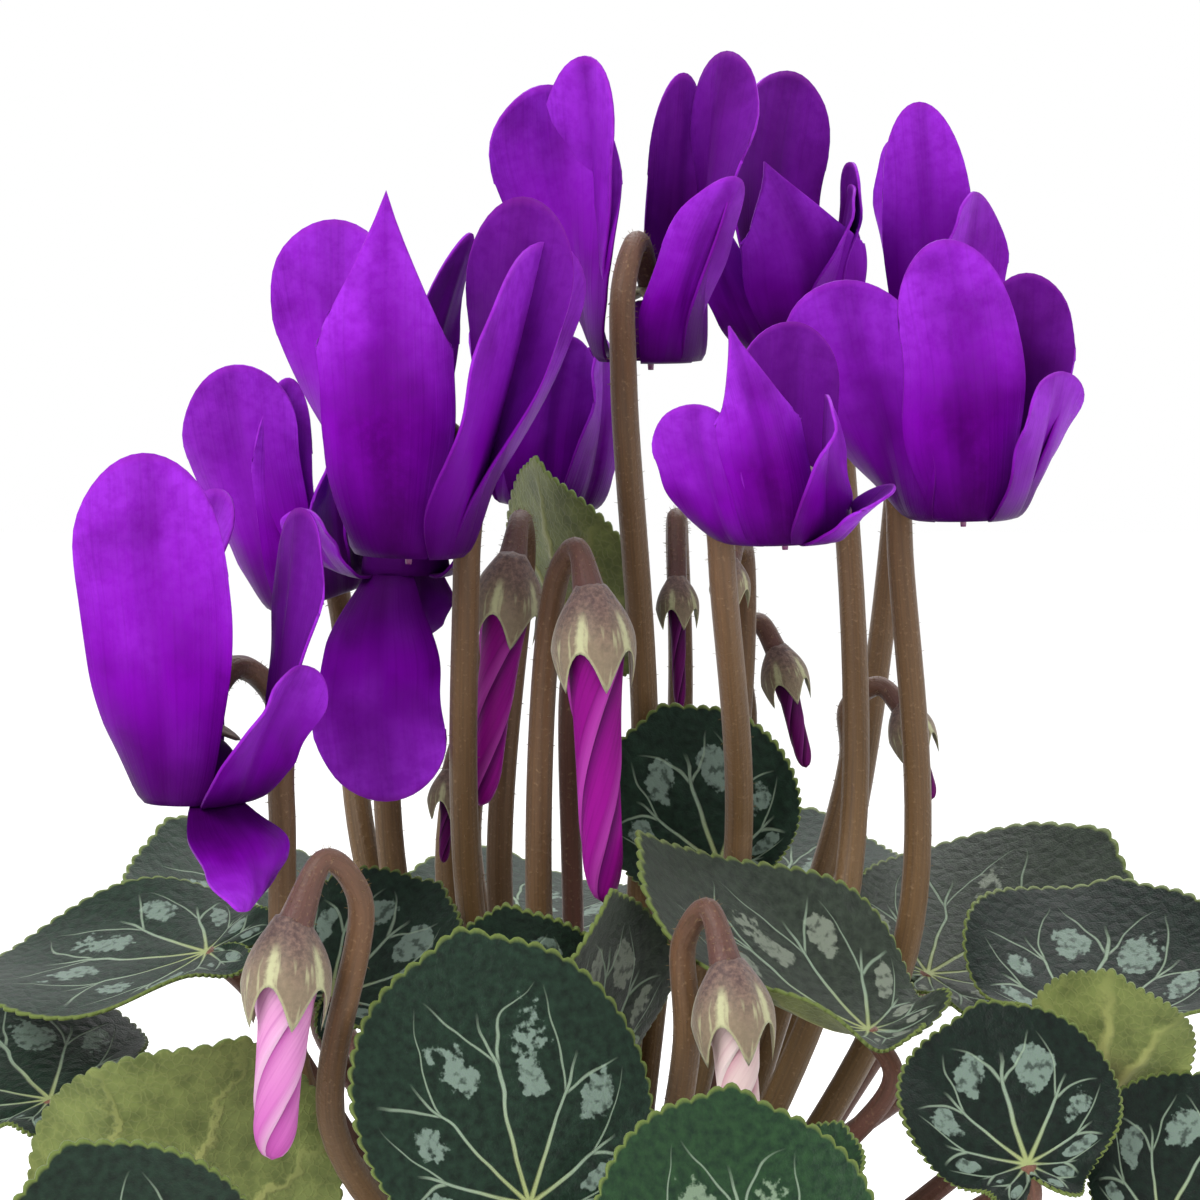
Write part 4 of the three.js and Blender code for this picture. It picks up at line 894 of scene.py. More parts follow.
        puff = r.add(MATH, {0: veins, 1: -1.0, 2: net}, operation="MULTIPLY_ADD")
        height = r.add(MATH, {0: grain, 1: self.grain_relief, 2: puff}, operation="MULTIPLY_ADD")
        bump = r.add("Bump", {"Height": height, "Strength": 0.55, "Distance": self.relief * MM})
        rough = r.add(RANGE, {"Value": grain, "To Min": 0.36, "To Max": 0.56})
        return r.add(BODY, {
            "Base Color": skin, "Roughness": rough, "Normal": bump, "IOR": 1.4, "Specular IOR Level": 0.16,
            "Sheen Weight": self.sheen, "Subsurface Weight": 0.05, "Subsurface Radius": (0.4, 1.0, 0.2),
            "Subsurface Scale": self.depth * MM})


@dataclass(frozen=True)
class LeafBack(Finish):
    """Underside of a living leaf, grown: matt olive green with raised veins and a reddish cast.

    The numbers of waves and cells are to the millimetre.
    """

    olive: str = "#66723A"
    deep: str = "#495526"
    vein: str = "#868B50"
    cast: str = "#64493A"
    cloud_waves: float = 0.2
    wander_waves: float = 0.9
    net_cells: float = 0.75
    sway: float = 0.012
    relief: float = 0.4

    def surface(self, r: Recipe) -> Made:
        """Builds the back from the same two maps as the face."""
        angle, reach = r.add(SPLIT, {0: r.add("UVMap", uv_map="span")}, (0, 1))
        plate = r.add("UVMap", uv_map="plate")
        cloud = r.add(NOISE, {"Vector": plate, "Scale": self.cloud_waves, "Detail": 4.0, "Roughness": 0.6})
        off = vein_angle(r, angle, cloud, self.sway)
        distance = r.add("VectorMath", {0: plate}, "Value", operation="LENGTH")
        aside = r.add(MATH, {0: off, 1: distance}, operation="MULTIPLY")
        ridge = r.add(RANGE, {"Value": aside, "From Min": 0.16, "From Max": 0.04})
        fade = r.add(RANGE, {
            "Value": reach, "From Min": 0.55, "From Max": 0.95, "To Min": 1.0, "To Max": 0.2})
        ridge = r.add(MATH, {0: ridge, 1: fade}, operation="MULTIPLY")
        wander = r.add(NOISE, {"Vector": plate, "Scale": self.wander_waves, "Detail": 3.0}, "Color")
        bent = r.add("VectorMath", {0: plate, 1: wander}, operation="ADD")
        net = r.add(CELLS, {"Vector": bent, "Scale": self.net_cells}, feature="DISTANCE_TO_EDGE")
        thread = r.add(RANGE, {"Value": net, "From Min": 0.12, "From Max": 0.0, "To Max": 0.22})
        lines = r.add(MATH, {0: ridge, 1: thread}, operation="MAXIMUM")
        skin = r.layers(
            linear(self.deep),
            (cloud, 0.36, 0.62, 1.0, self.olive),
            (lines, 0.0, 1.0, 1.0, self.vein))
        red = r.add(RANGE, {
            "Value": reach, "From Min": 0.0, "From Max": 0.5, "To Min": 0.5, "To Max": 0.05})
        skin = r.add(BLEND, {0: red, 6: skin, 7: linear(self.cast)}, 2, data_type="RGBA")
        height = r.add(MATH, {0: lines, 1: cloud}, operation="ADD")
        bump = r.add("Bump", {"Height": height, "Strength": 0.6, "Distance": self.relief * MM})
        return r.add(BODY, {
            "Base Color": skin, "Roughness": 0.62, "Normal": bump, "IOR": 1.4, "Specular IOR Level": 0.3,
            "Sheen Weight": 0.15})


@dataclass(frozen=True)
class MouldedPot(Finish):
    """Polypropylene, injection moulded: terracotta colour, faint flow marks and pale water marks."""

    body: str = "#753D29"
    worn: str = "#8C563F"
    mark: str = "#998877"
    flow_size: float = 30.0
    flow_flatness: float = 5.0
    stain_size: float = 14.0
    grain_size: float = 0.8  # coarser than the mould's own grain, so that it shows
    relief: float = 0.2

    def surface(self, r: Recipe) -> Made:
        """Builds the pot's plastic on object coordinates."""
        place = r.add("TexCoord", out="Object")
        flat = r.add("Mapping", {0: place, "Scale": (1.0, 1.0, self.flow_flatness)})
        flow = r.add(NOISE, {"Vector": flat, "Scale": 1 / (self.flow_size * MM), "Detail": 3.0})
        stain = r.add(NOISE, {
            "Vector": place, "Scale": 1 / (self.stain_size * MM), "Detail": 5.0, "Roughness": 0.65})
        skin = r.layers(
            linear(self.body), (flow, 0.0, 1.0, 1.0, self.worn), (stain, 0.56, 0.75, 0.35, self.mark))
        grain = r.add(NOISE, {"Vector": place, "Scale": 1 / (self.grain_size * MM), "Detail": 2.0})
        bump = r.add("Bump", {"Height": grain, "Strength": 0.25, "Distance": self.relief * MM})
        rough = r.add(RANGE, {"Value": stain, "To Min": 0.38, "To Max": 0.62})
        return r.add(BODY, {"Base Color": skin, "Roughness": rough, "Normal": bump, "IOR": 1.49})


@dataclass(frozen=True)
class PeatCompost(Finish):
    """Peat compost, sieved: matt fibrous crumbs from near black to brown."""

    dark: str = "#160F0C"
    brown: str = "#3C2A1F"
    crumb_size: float = 2.2
    relief: float = 1.2

    def surface(self, r: Recipe) -> Made:
        """Builds the compost on object coordinates."""
        place = r.add("TexCoord", out="Object")
        crumbs = r.add(NOISE, {
            "Vector": place, "Scale": 1 / (self.crumb_size * MM), "Detail": 5.0, "Roughness": 0.7})
        skin = r.layers(linear(self.dark), (crumbs, 0.35, 0.7, 1.0, self.brown))
        bump = r.add("Bump", {"Height": crumbs, "Strength": 0.9, "Distance": self.relief * MM})
        return r.add(BODY, {"Base Color": skin, "Roughness": 0.95, "Normal": bump, "Specular IOR Level": 0.2})


@dataclass(frozen=True)
class Perlite(Finish):
    """Perlite, expanded by heat: chalky white grains with tiny pores."""

    pore: str = "#766F64"
    chalk: str = "#B3AEA3"
    pore_size: float = 0.5  # coarser than the real pores, so that they show
    relief: float = 0.2

    def surface(self, r: Recipe) -> Made:
        """Builds the grains' surface on object coordinates."""
        place = r.add("TexCoord", out="Object")
        pores = r.add(CELLS, {"Vector": place, "Scale": 1 / (self.pore_size * MM)})
        skin = r.add("ValToRGB", {0: pores}, stops=((0.0, self.pore), (0.6, self.chalk)))
        bump = r.add("Bump", {"Height": pores, "Strength": 0.5, "Distance": self.relief * MM})
        return r.add(BODY, {"Base Color": skin, "Roughness": 0.9, "Normal": bump})


@dataclass(frozen=True)
class CorkyTuber(Finish):
    """Cyclamen tuber, grown: dry corky bark with cracks."""

    bark: str = "#574334"
    crack: str = "#231913"
    dust: str = "#756452"
    plate_size: float = 5.0
    grain_size: float = 1.6
    relief: float = 0.9

    def surface(self, r: Recipe) -> Made:
        """Builds the bark on object coordinates."""
        place = r.add("TexCoord", out="Object")
        plates = r.add(CELLS, {"Vector": place, "Scale": 1 / (self.plate_size * MM)},
                       feature="DISTANCE_TO_EDGE")
        grain = r.add(NOISE, {"Vector": place, "Scale": 1 / (self.grain_size * MM), "Detail": 4.0})
        skin = r.layers(
            linear(self.bark), (grain, 0.0, 1.0, 1.0, self.dust), (plates, 0.16, 0.0, 1.0, self.crack))
        height = r.add(MATH, {0: plates, 1: grain}, operation="ADD")
        bump = r.add("Bump", {"Height": height, "Strength": 0.8, "Distance": self.relief * MM})
        return r.add(BODY, {"Base Color": skin, "Roughness": 0.88, "Normal": bump})


@dataclass(frozen=True)
class PaintedFloor(Finish):
    """Studio floor, rolled matt paint."""

    colour: str = "#FFFFFF"
    nap_size: float = 3.0  # coarser than a roller's nap, so that it shows
    relief: float = 0.2

    def surface(self, r: Recipe) -> Made:
        """Builds the floor's paint on object coordinates."""
        place = r.add("TexCoord", out="Object")
        nap = r.add(NOISE, {"Vector": place, "Scale": 1 / (self.nap_size * MM), "Detail": 2.0})
        bump = r.add("Bump", {"Height": nap, "Strength": 0.05, "Distance": self.relief * MM})
        return r.add(BODY, {"Base Color": linear(self.colour), "Roughness": 0.85, "Normal": bump})


PETAL = SatinPetal("petal_grown_satin_violet")
# A darker copy of the petal's finish for the backs of the petal sheets, which face into the bloom: painted
# shade.
PETAL_SHADED_INSIDE = SatinPetal("petal_grown_satin_shaded_inside", body="#4A0468", light="#641A88", shade="#2C0036")
SCAPE = StalkSkin("scape_grown_fleshy")
PETIOLE = StalkSkin("petiole_grown_fleshy", base="#593E2B", middle="#553228", top="#684434")
SEPAL = SepalSkin("sepal_grown_granular")
STYLE = StyleSkin("style_grown_waxy")
LEAF = LeafFace("leaf_face_grown_waxy")
LEAF_GREY = LeafFace("leaf_face_grown_grey", dark="#1E241E", green="#30392F", silver="#747C6E")
LEAF_BRIGHT = LeafFace("leaf_face_grown_bright", dark="#122619", green="#233E24", silver="#748670")
LEAF_DEEP = LeafFace("leaf_face_grown_deep", dark="#070F0B", green="#101F17")
LEAF_BACK = LeafBack("leaf_back_grown_matt")
BUD_FINISH = {
    BudColour.DARK: FurledPetal(
        "bud_grown_violet", top="#3C073E", tip="#640B5C", groove="#1C001E", lip="#722670"),
    BudColour.MAGENTA: FurledPetal(
        "bud_grown_magenta", top="#720469", tip="#880A7F", groove="#3F0041", lip="#A6419F"),
    BudColour.PINK: FurledPetal(
        "bud_grown_pink", top="#C895B7", tip="#B34FA3", groove="#923C84", lip="#CDADC3"),
    BudColour.PALE: FurledPetal(
        "bud_grown_pale", top="#C9B2B2", tip="#CBB3B0", groove="#AD7F8B", lip="#D1C4C1"),
}
BUD_SLOT = {
    BudColour.DARK: "bud_violet", BudColour.MAGENTA: "bud_violet",
    BudColour.PINK: "bud_pink", BudColour.PALE: "bud_pale",
}
LEAF_FINISH = {
    "l09": LEAF_GREY, "l10": LEAF_GREY, "l11": LEAF_GREY, "l12": LEAF_DEEP, "l14": LEAF_DEEP,
    "l15": LEAF_DEEP, "l16": LEAF_BRIGHT,
}


# ---- Meshes ----
Spot = Callable[[float, float], Vector]
Flat = Callable[[float, float], tuple[float, float]]


class Form:
    """A bmesh in millimetres, with the two maps that the finishes read."""

    def __init__(self) -> None:
        """Starts empty."""
        self.mesh = bmesh.new()
        self.span = self.mesh.loops.layers.uv.new("span")
        self.plate = self.mesh.loops.layers.uv.new("plate")

    def sheet(self, columns: int, rows: int, spot: Spot, span: Flat | None = None, plate: Flat | None = None,
              material: int = 0, outward: Vector | None = None) -> None:
        """Adds a grid whose points are moved into place, and merges those that meet.

        Args:
            columns: faces across.
            rows: faces along.
            spot: from (across, along), each from 0 to 1, to the point's place.
            span: from the same two to the first map, if not themselves.
            plate: from the same two to the second map.
            material: the faces' material slot.
            outward: the way the faces look, where the sheet stays open.
        """
        made = bmesh.ops.create_grid(self.mesh, x_segments=columns, y_segments=rows, size=0.5)["verts"]
        flat = {vert: (vert.co.x + 0.5, vert.co.y + 0.5) for vert in made}
        faces = {face for vert in made for face in vert.link_faces}
        for face in faces:
            face.material_index = material
            face.smooth = True
            for loop in face.loops:
                across, along = flat[loop.vert]
                loop[self.span].uv = span(across, along) if span else (across, along)
                if plate:
                    loop[self.plate].uv = plate(across, along)
        for vert, (across, along) in flat.items():
            vert.co = spot(across, along)
        if outward is not None:
            self.mesh.normal_update()
            if sum((face.normal * face.calc_area() for face in faces), Vector()).dot(outward) < 0:
                bmesh.ops.reverse_faces(self.mesh, faces=list(faces))
        bmesh.ops.remove_doubles(self.mesh, verts=made, dist=WELD)
        if outward is None:
            closed = {face for vert in made if vert.is_valid for face in vert.link_faces}
            bmesh.ops.recalc_face_normals(self.mesh, faces=list(closed))

    def stalk(self, path: SmoothPath, radius: Callable[[float], float], sides: int, rings: int,
              material: int = 0, hairs: int = 0) -> None:
        """Adds a round stalk along a path, closed at both ends.

        Args:
            path: the stalk's middle line.
            radius: from the share of the run to the radius there.
            sides: faces round it.
            rings: faces along it.
            material: its material slot.
            hairs: how many short hairs stand on it, above its bare lowest part.
        """
        frames = []
        across = Vector((1, 0, 0))
        for ring in range(rings + 1):
            share = ring / rings
            tangent = path.tangent(share)
            across = square_to(across, tangent)
            frames.append((path.point(share), across, tangent.cross(across), radius(share)))

        def spot(around: float, along: float) -> Vector:
            """A point of the stalk's skin; the first and last rows are drawn to the middle."""
            step = round(along * (rings + 2))
            centre, first, second, wide = frames[min(max(step - 1, 0), rings)]
            if step in (0, rings + 2):
                return centre.copy()
            angle = ring_angle(around, sides)
            return centre + (first * math.cos(angle) + second * math.sin(angle)) * wide

        self.sheet(sides, rings + 2, spot, material=material)
        chance = Random(hairs)
        for _ in range(hairs):
            centre, first, second, wide = frames[chance.randrange(rings // BARE_PART, rings - 1)]
            angle = TAU * chance.random()
            out = first * math.cos(angle) + second * math.sin(angle)
            lean = out + first.cross(second) * mix(-HAIR_LEAN, HAIR_LEAN, chance.random())
            where = aimed(centre + out * (wide + 0.5 * HAIR_LENGTH - HAIR_SUNK), lean)
            bmesh.ops.create_cone(self.mesh, cap_ends=True, segments=3, radius1=HAIR_RADIUS,
                                  radius2=HAIR_POINT * HAIR_RADIUS, depth=HAIR_LENGTH, matrix=where)

    def turned(self, profile: list[tuple[float, float]], sides: int) -> None:
        """Makes a turned shape: a line of points spun once about the upright axis and merged.

        Args:
            profile: radius and height of each point.
            sides: steps of the turn.
        """
        made = [self.mesh.verts.new((radius, 0, height)) for radius, height in profile]
        edges = [self.mesh.edges.new(pair) for pair in zip(made, made[1:])]
        bmesh.ops.spin(self.mesh, geom=made + edges, cent=(0, 0, 0), axis=(0, 0, 1), angle=TAU, steps=sides,
                       use_merge=True)
        bmesh.ops.remove_doubles(self.mesh, verts=self.mesh.verts, dist=WELD)
        bmesh.ops.recalc_face_normals(self.mesh, faces=self.mesh.faces)
        for face in self.mesh.faces:
            face.smooth = True

    def finish(self, name: str, nodes: tuple[str, ...], slot: str, finishes: tuple[Finish, ...],
               wall: float = 0.0, back: int = 0) -> bpy.types.Object:
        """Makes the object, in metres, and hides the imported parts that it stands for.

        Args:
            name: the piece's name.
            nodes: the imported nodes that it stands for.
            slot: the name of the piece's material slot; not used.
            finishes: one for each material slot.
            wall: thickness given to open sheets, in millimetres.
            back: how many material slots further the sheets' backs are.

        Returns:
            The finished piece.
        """
        bmesh.ops.scale(self.mesh, vec=(MM, MM, MM), verts=self.mesh.verts)
        data = bpy.data.meshes.new(name)
        self.mesh.to_mesh(data)
        self.mesh.free()
        for finish in finishes:
            data.materials.append(dressed(finish))
        piece = bpy.data.objects.new(name, data)
        bpy.context.scene.collection.objects.link(piece)
        if wall:
            shell = piece.modifiers.new("wall", "SOLIDIFY")
            shell.thickness = wall * MM
            shell.offset = 0.0
            shell.material_offset = back
        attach(piece, "root")
        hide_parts(*nodes)
        log.info("%s stands for %s", name, ", ".join(nodes))
        return piece


def aimed(origin: Vector, direction: Vector) -> Matrix:
    """Axes at a point, with their third along a direction."""
    turn = Vector((0, 0, 1)).rotation_difference(direction.normalized())
    return Matrix.Translation(origin) @ turn.to_matrix().to_4x4()


# ---- Where the stalks leave the tuber ----
def tuber_height(x: float, y: float) -> float:
    """Height of the tuber's top at a place."""
    reach = min(1.0, math.hypot(x, y) / TUBER_RADIUS)
    return TUBER_TOP - (TUBER_TOP - SOIL_TOP - SOIL_MOUND) * reach * reach


def crown_spots() -> list[Vector]:
    """Spreads the stalks' bases over the tuber, each under its top as near as the others allow."""
    targets = [bloom.way for bloom in BLOOMS] + [bud.way for bud in BUDS]
    targets += [LEAVES[names[0]].junction for names in LEAF_NODES]
    spots = [[x * CROWN_SCALE, y * CROWN_SCALE] for x, y, _ in targets]
    space = 2 * SCAPE_BASE + CROWN_SPACE
    for _ in range(CROWN_ROUNDS):
        for i, here in enumerate(spots):
            for there in spots[:i]:
                dx, dy = here[0] - there[0], here[1] - there[1]
                apart = math.hypot(dx, dy)
                if apart < space:
                    push = (space - apart) / (2 * apart)
                    here[0] += dx * push
                    here[1] += dy * push
                    there[0] -= dx * push
                    there[1] -= dy * push
    return [Vector((x, y, tuber_height(x, y) - STEM_SUNK)) for x, y in spots]


def collar(base: Vector) -> Vector:
    """Where a stalk, risen straight from its socket, starts to lean."""
    return Vector((base.x * COLLAR_LEAN, base.y * COLLAR_LEAN, base.z + STEM_SUNK + COLLAR_RISE))


# ---- Open blooms ----
@dataclass
class Bloom:
    """An open bloom: five swept-back petals on their tube, and the hooked scape with calyx and style.

    A wave's three numbers are its height and its radians along and across the petal.
    """

    form: BloomForm
    base: Vector
    petal_columns: int = 22
    petal_rows: int = 34
    petal_wall: float = 0.45
    point_power: float = 0.9
    width_wave: Triple = (0.045, 11, 2)
    edge_wave: Triple = (0.75, 9, 3)
    edge_ripple: Triple = (0.35, 19, 5)
    crease_depth: float = 0.9
    crease_width: float = 0.16
    uv_margin: float = 0.03
    tube_sides: int = 40
    tube_rings: int = 12
    tube_power: float = 1.7
    tube_share: float = 0.16
    lip_scallop: float = 0.35
    style_room: float = 0.5
    style_drop: float = 1.6
    style_middle: float = 4.0
    style_tip: float = 0.55
    style_sides: int = 10
    style_rings: int = 8
    scape_sides: int = 14
    scape_rings: int = 90
    scape_hairs: int = 180
    star_sides: int = 60
    star_rows: int = 16
    sepal_power: float = 0.7
    sepal_curve: float = 1.6
    star_hollow: float = 1.1
    star_edge: float = 0.3

    def __post_init__(self) -> None:
        """Works out the bloom's own axes."""
        self.mouth = Vector(self.form.mouth)
        self.up = Vector(self.form.rise).normalized()
        self.right = square_to(Vector((1, 0, 0)), self.up)
        self.back = self.up.cross(self.right)

    def place(self, azimuth: float, radius: float, height: float) -> Vector:
        """Finds a point by its place round the bloom's axis.

        Args:
            azimuth: the angle round the axis, in radians.
            radius: the distance out from the axis.
            height: the height over the mouth.

        Returns:
            The place.
        """
        return self.mouth + self.outward(azimuth) * radius + self.up * height

    def outward(self, azimuth: float) -> Vector:
        """The way out from the bloom's axis at an angle round it, in radians."""
        return self.right * math.cos(azimuth) + self.back * math.sin(azimuth)

    def petal_half(self, width: float, share: float) -> float:
        """Half the petal's width: narrow at the mouth and full from past its spread."""
        grown = math.sin(0.5 * math.pi * min(1.0, share / PETAL_SPREAD)) ** PETAL_FULLNESS
        return mix(PETAL_BASE_HALF, 0.5 * width, grown)

    def petal_point(self, petal: PetalForm, along: float, across: float) -> Vector:
        """A point of a petal.

        Args:
            petal: the petal's sizes.
            along: 0 at the mouth and 1 at the end.
            across: -1 and 1 at its two edges.

        Returns:
            The place on the petal's middle surface.
        """
        side = abs(across)
        rounded = PETAL_ROUND * (1 - math.sqrt(max(0.0, 1 - side * side)))
        trim = mix(rounded, PETAL_POINT * side ** self.point_power, petal.point)
        share = along * (1 - trim * along * along)
        run = share * petal.length
        tilt = math.radians(petal.flare)
        turn = math.radians(petal.twist) * share
        wave = rippled(self.width_wave, share, across, petal.azimuth) * hump(share)
        half = self.petal_half(petal.width, share) * (1 + wave)
        bowed = run * (1 + PETAL_BOW * (1 - share))
        radius = MOUTH_RADIUS + LIP_OUT * (1 - math.exp(-run / LIP_OUT_LENGTH)) + bowed * math.sin(tilt)
        height = run * math.cos(tilt) - LIP_DIP * (1 - math.exp(-run / LIP_DIP_LENGTH))
        fold = petal.cup * half * side ** FOLD_POWER * min(1.0, FOLD_GROWTH * share)
        fold += PETAL_SPIRAL * across * half * min(1.0, SPIRAL_GROWTH * share)
        fold += rippled(self.edge_wave, share, across, petal.azimuth) * side * side * share
        fold += rippled(self.edge_ripple, share, across, petal.length) * side ** 3 * share
        fold -= self.crease_depth * math.exp(-((across / self.crease_width) ** 2)) * hump(share)
        flat_out = radius + across * half * math.sin(turn) + fold * math.cos(turn)
        flat_side = across * half * math.cos(turn) - fold * math.sin(turn)
        around = across * half / radius
        wrap = (1 - share) ** 2
        out = mix(flat_out, (radius + fold) * math.cos(around), wrap)
        sideways = mix(flat_side, (radius + fold) * math.sin(around), wrap) + petal.lean * share * share
        azimuth = math.radians(petal.azimuth)
        tangent = self.outward(azimuth + 0.5 * math.pi)
        return self.place(azimuth, out, height) + tangent * sideways

    def inset(self, across: float) -> float:
        """A place across the map that stays clear of the next petal's number."""
        return self.uv_margin + (1 - 2 * self.uv_margin) * across

    def build_corolla(self) -> bpy.types.Object:
        """Makes the petals and the tube that they hang from."""
        form = Form()
        for number, petal in enumerate(self.form.petals):
            form.sheet(
                self.petal_columns, self.petal_rows,
                lambda across, along, petal=petal: self.petal_point(petal, along, bunched(across)),
                span=lambda across, along, number=number: (number + self.inset(across), along),
                outward=self.outward(math.radians(petal.azimuth)))
        hole = STYLE_RADIUS + self.style_room

        def tube(around: float, along: float) -> Vector:
            """The tube's wall, from the mouth's lip to the hole for the style."""
            angle = ring_angle(around, self.tube_sides)
            lip = MOUTH_RADIUS + self.lip_scallop * math.cos(SEPAL_COUNT * angle)
            radius = mix(lip, hole, along ** self.tube_power)
            return self.place(angle, radius, TUBE_TOP * math.sin(0.5 * math.pi * along))

        form.sheet(self.tube_sides, self.tube_rings, tube,
                   span=lambda across, along: (across, self.tube_share * along), outward=self.up)
        return form.finish(f"bloom_{self.form.name}_corolla", (f"bloom_{self.form.name}_petals",), "petal",
                           (PETAL, PETAL_SHADED_INSIDE), wall=self.petal_wall, back=1)

    def scape_path(self) -> SmoothPath:
        """The scape's way: up, beside the bloom, over the hook and down to the calyx."""
        side = math.radians(self.form.stem_side)
        off = self.form.standoff
        return SmoothPath([
            self.base, collar(self.base), Vector(self.form.way), self.place(side, off, -HOOK_FOOT),
            self.place(side, off, HOOK_HEIGHT - HOOK_SHOULDER), self.place(side, 0.5 * off, HOOK_HEIGHT),
            self.place(side, HOOK_CENTRE, TUBE_TOP + HOOK_END)])

    def build_scape(self) -> bpy.types.Object:
        """Makes the scape, the calyx star and the style."""
        form = Form()
        form.stalk(self.scape_path(), lambda at: mix(SCAPE_BASE, SCAPE_TOP, min(1.0, at * SCAPE_TAPER)),
                   self.scape_sides, self.scape_rings, hairs=self.scape_hairs)
        middle = TUBE_TOP + CALYX_TOP

        def star(around: float, along: float) -> Vector:
            """The calyx: out over the sepals and back under them."""
            turn = ring_angle(around, self.star_sides)
            out = 1 - abs(2 * along - 1)
            between = 0.5 - 0.5 * math.cos(SEPAL_COUNT * turn)
            reach = CALYX_RADIUS * mix(1.0, SEPAL_VALLEY, between ** self.sepal_power)
            radius = reach * out
            under = self.star_hollow * (1 - out ** 3) + self.star_edge if along > 0.5 else 0.0
            height = middle - CALYX_DROP * (radius / CALYX_RADIUS) ** self.sepal_curve - under
            return self.place(turn - 0.5 * math.pi, radius, height)

        form.sheet(self.star_sides, self.star_rows, star, material=1)
        heights = (-self.style_drop, self.style_middle, TUBE_TOP + HOOK_END)
        style = SmoothPath([self.place(0, 0, height) for height in heights])
        form.stalk(style, lambda at: STYLE_RADIUS * mix(self.style_tip, 1.0, min(1.0, 3 * at)),
                   self.style_sides, self.style_rings, material=2)
        return form.finish(f"bloom_{self.form.name}_stalk", (f"bloom_{self.form.name}_scape",), "scape",
                           (SCAPE, SEPAL, STYLE))


# ---- Buds ----
@dataclass
class Bud:
    """A hanging bud: the furled corolla, and its hooked scape with the calyx cup."""

    form: BudForm
    base: Vector
    laps: int = 3
    corolla_sides: int = 72
    corolla_rings: int = 40
    lap_depth: float = 0.2
    lap_growth: float = 3
    lap_fade: float = 0.5
    corolla_room: float = 1.2
    wind: float = -4.4
    narrow: float = 0.7
    swell: float = 0.52
    swell_fall: float = 3.2
    blunt_from: float = 0.8
    shoulder_to: float = 0.06
    neck_share: float = 0.47
    neck_from: float = 0.78
    scape_sides: int = 12
    scape_rings: int = 70
    scape_hairs: int = 180
    cup_sides: int = 60
    cup_rows: int = 30
    cup_outside: float = 0.6
    cup_bulge: float = 0.06
    cup_depth: float = 0.3
    sepal_power: float = 0.7
    sepal_gap: float = 0.34
    cup_path: tuple[tuple[float, float], ...] = (
        (0.3, 1.3), (0.54, 0.95), (0.82, 0.5), (0.97, 0.1), (1.0, -0.3), (0.95, -0.75), (0.84, -1.25))

    def __post_init__(self) -> None:
        """Works out the bud's axis, from its tip to its stalk."""
        self.calyx = Vector(self.form.calyx)
        self.tip = Vector(self.form.tip)
        self.axis = (self.calyx - self.tip).normalized()
        self.frame_of = aimed(self.calyx, self.axis)

    def build_corolla(self) -> bpy.types.Object:
        """Makes the furled corolla: petals wound into a spindle, whose free edges show as laps."""
        form = Form()
        length = (self.calyx - self.tip).length
        full = self.form.radius - SEPAL_THICKNESS - self.corolla_room
        top = BUD_TOP * self.form.radius

        def spot(around: float, along: float) -> Vector:
            """A point of the wound petals."""
            part = round(around * self.corolla_sides) % self.corolla_sides / self.corolla_sides
            lap = (part * self.laps) % 1.0
            depth = self.lap_depth * (1 - self.lap_fade * along) * min(1.0, along * self.lap_growth)
            flute = 1 - depth * (1 - lap ** 0.5)
            width = full * (self.narrow + self.swell * math.exp(-self.swell_fall * along))
            past = max(0.0, (along - self.blunt_from) / (1 - self.blunt_from))
            blunt = math.sqrt(max(0.0, 1 - past * past))
            before = max(0.0, 1 - along / self.shoulder_to)
            shoulder = math.sqrt(max(0.0, 1 - before * before))
            ring = width * flute * blunt * shoulder
            return self.frame_of @ spun(ring, TAU * part + self.wind * along, mix(top, -length, along))

        form.sheet(self.corolla_sides, self.corolla_rings, spot, span=lambda u, v: (self.laps * u, v))
        return form.finish(f"bud_{self.form.name}_petals", (f"bud_{self.form.name}_corolla",),
                           BUD_SLOT[self.form.colour], (BUD_FINISH[self.form.colour],))

    def scape_path(self) -> SmoothPath:
        """The scape's way, up to its hook and down into the calyx."""
        hook = Vector(self.form.hook)
        way = Vector(self.form.way)
        calyx = self.calyx + self.axis * BUD_NECK * self.form.radius
        away = hook - calyx
        away.z = 0
        shoulder = way.lerp(hook, BUD_SHOULDER) + away * BUD_SHOULDER_OUT
        shoulder.z = hook.z - BUD_SHOULDER_OUT * self.form.radius
        return SmoothPath([self.base, collar(self.base), way, shoulder, hook, calyx])

    def build_scape(self) -> bpy.types.Object:
        """Makes the scape and the calyx cup with its five sepals."""
        form = Form()
        radius = self.form.radius
        neck = self.neck_share * radius

        def thickness(at: float) -> float:
            """The scape's radius, which swells from the hook into the calyx."""
            swelling = max(0.0, (at - self.neck_from) / (1 - self.neck_from))
            tapered = mix(SCAPE_BASE, BUD_SCAPE_TOP, min(1.0, at * BUD_TAPER))
            return mix(tapered, neck, swelling * swelling)

        form.stalk(self.scape_path(), thickness, self.scape_sides, self.scape_rings, hairs=self.scape_hairs)
        skin = SmoothPath([Vector((wide, 0, high)) * radius for wide, high in self.cup_path])

        def cup(around: float, along: float) -> Vector:
            """The cup: down its outside to the sepals' edge and up its inside."""
            angle = ring_angle(around, self.cup_sides)
            between = (0.5 - 0.5 * math.cos(SEPAL_COUNT * angle)) ** self.sepal_power
            edge = 1 - self.sepal_gap * between
            share = along / self.cup_outside
            if share <= 1:
                spot = skin.point(edge * share)
                bulge = 1 - self.cup_bulge * between ** 3 * math.sin(math.pi * share)
                wide = spot.x * bulge if along else 0.0
            else:
                share = (along - self.cup_outside) / (1 - self.cup_outside)
                spot = skin.point(mix(edge, self.cup_depth, share))
                wide = (spot.x - SEPAL_THICKNESS * min(1.0, 3 * share)) * (1 if share < 1 else 0)
            return self.frame_of @ spun(wide, angle, spot.z)

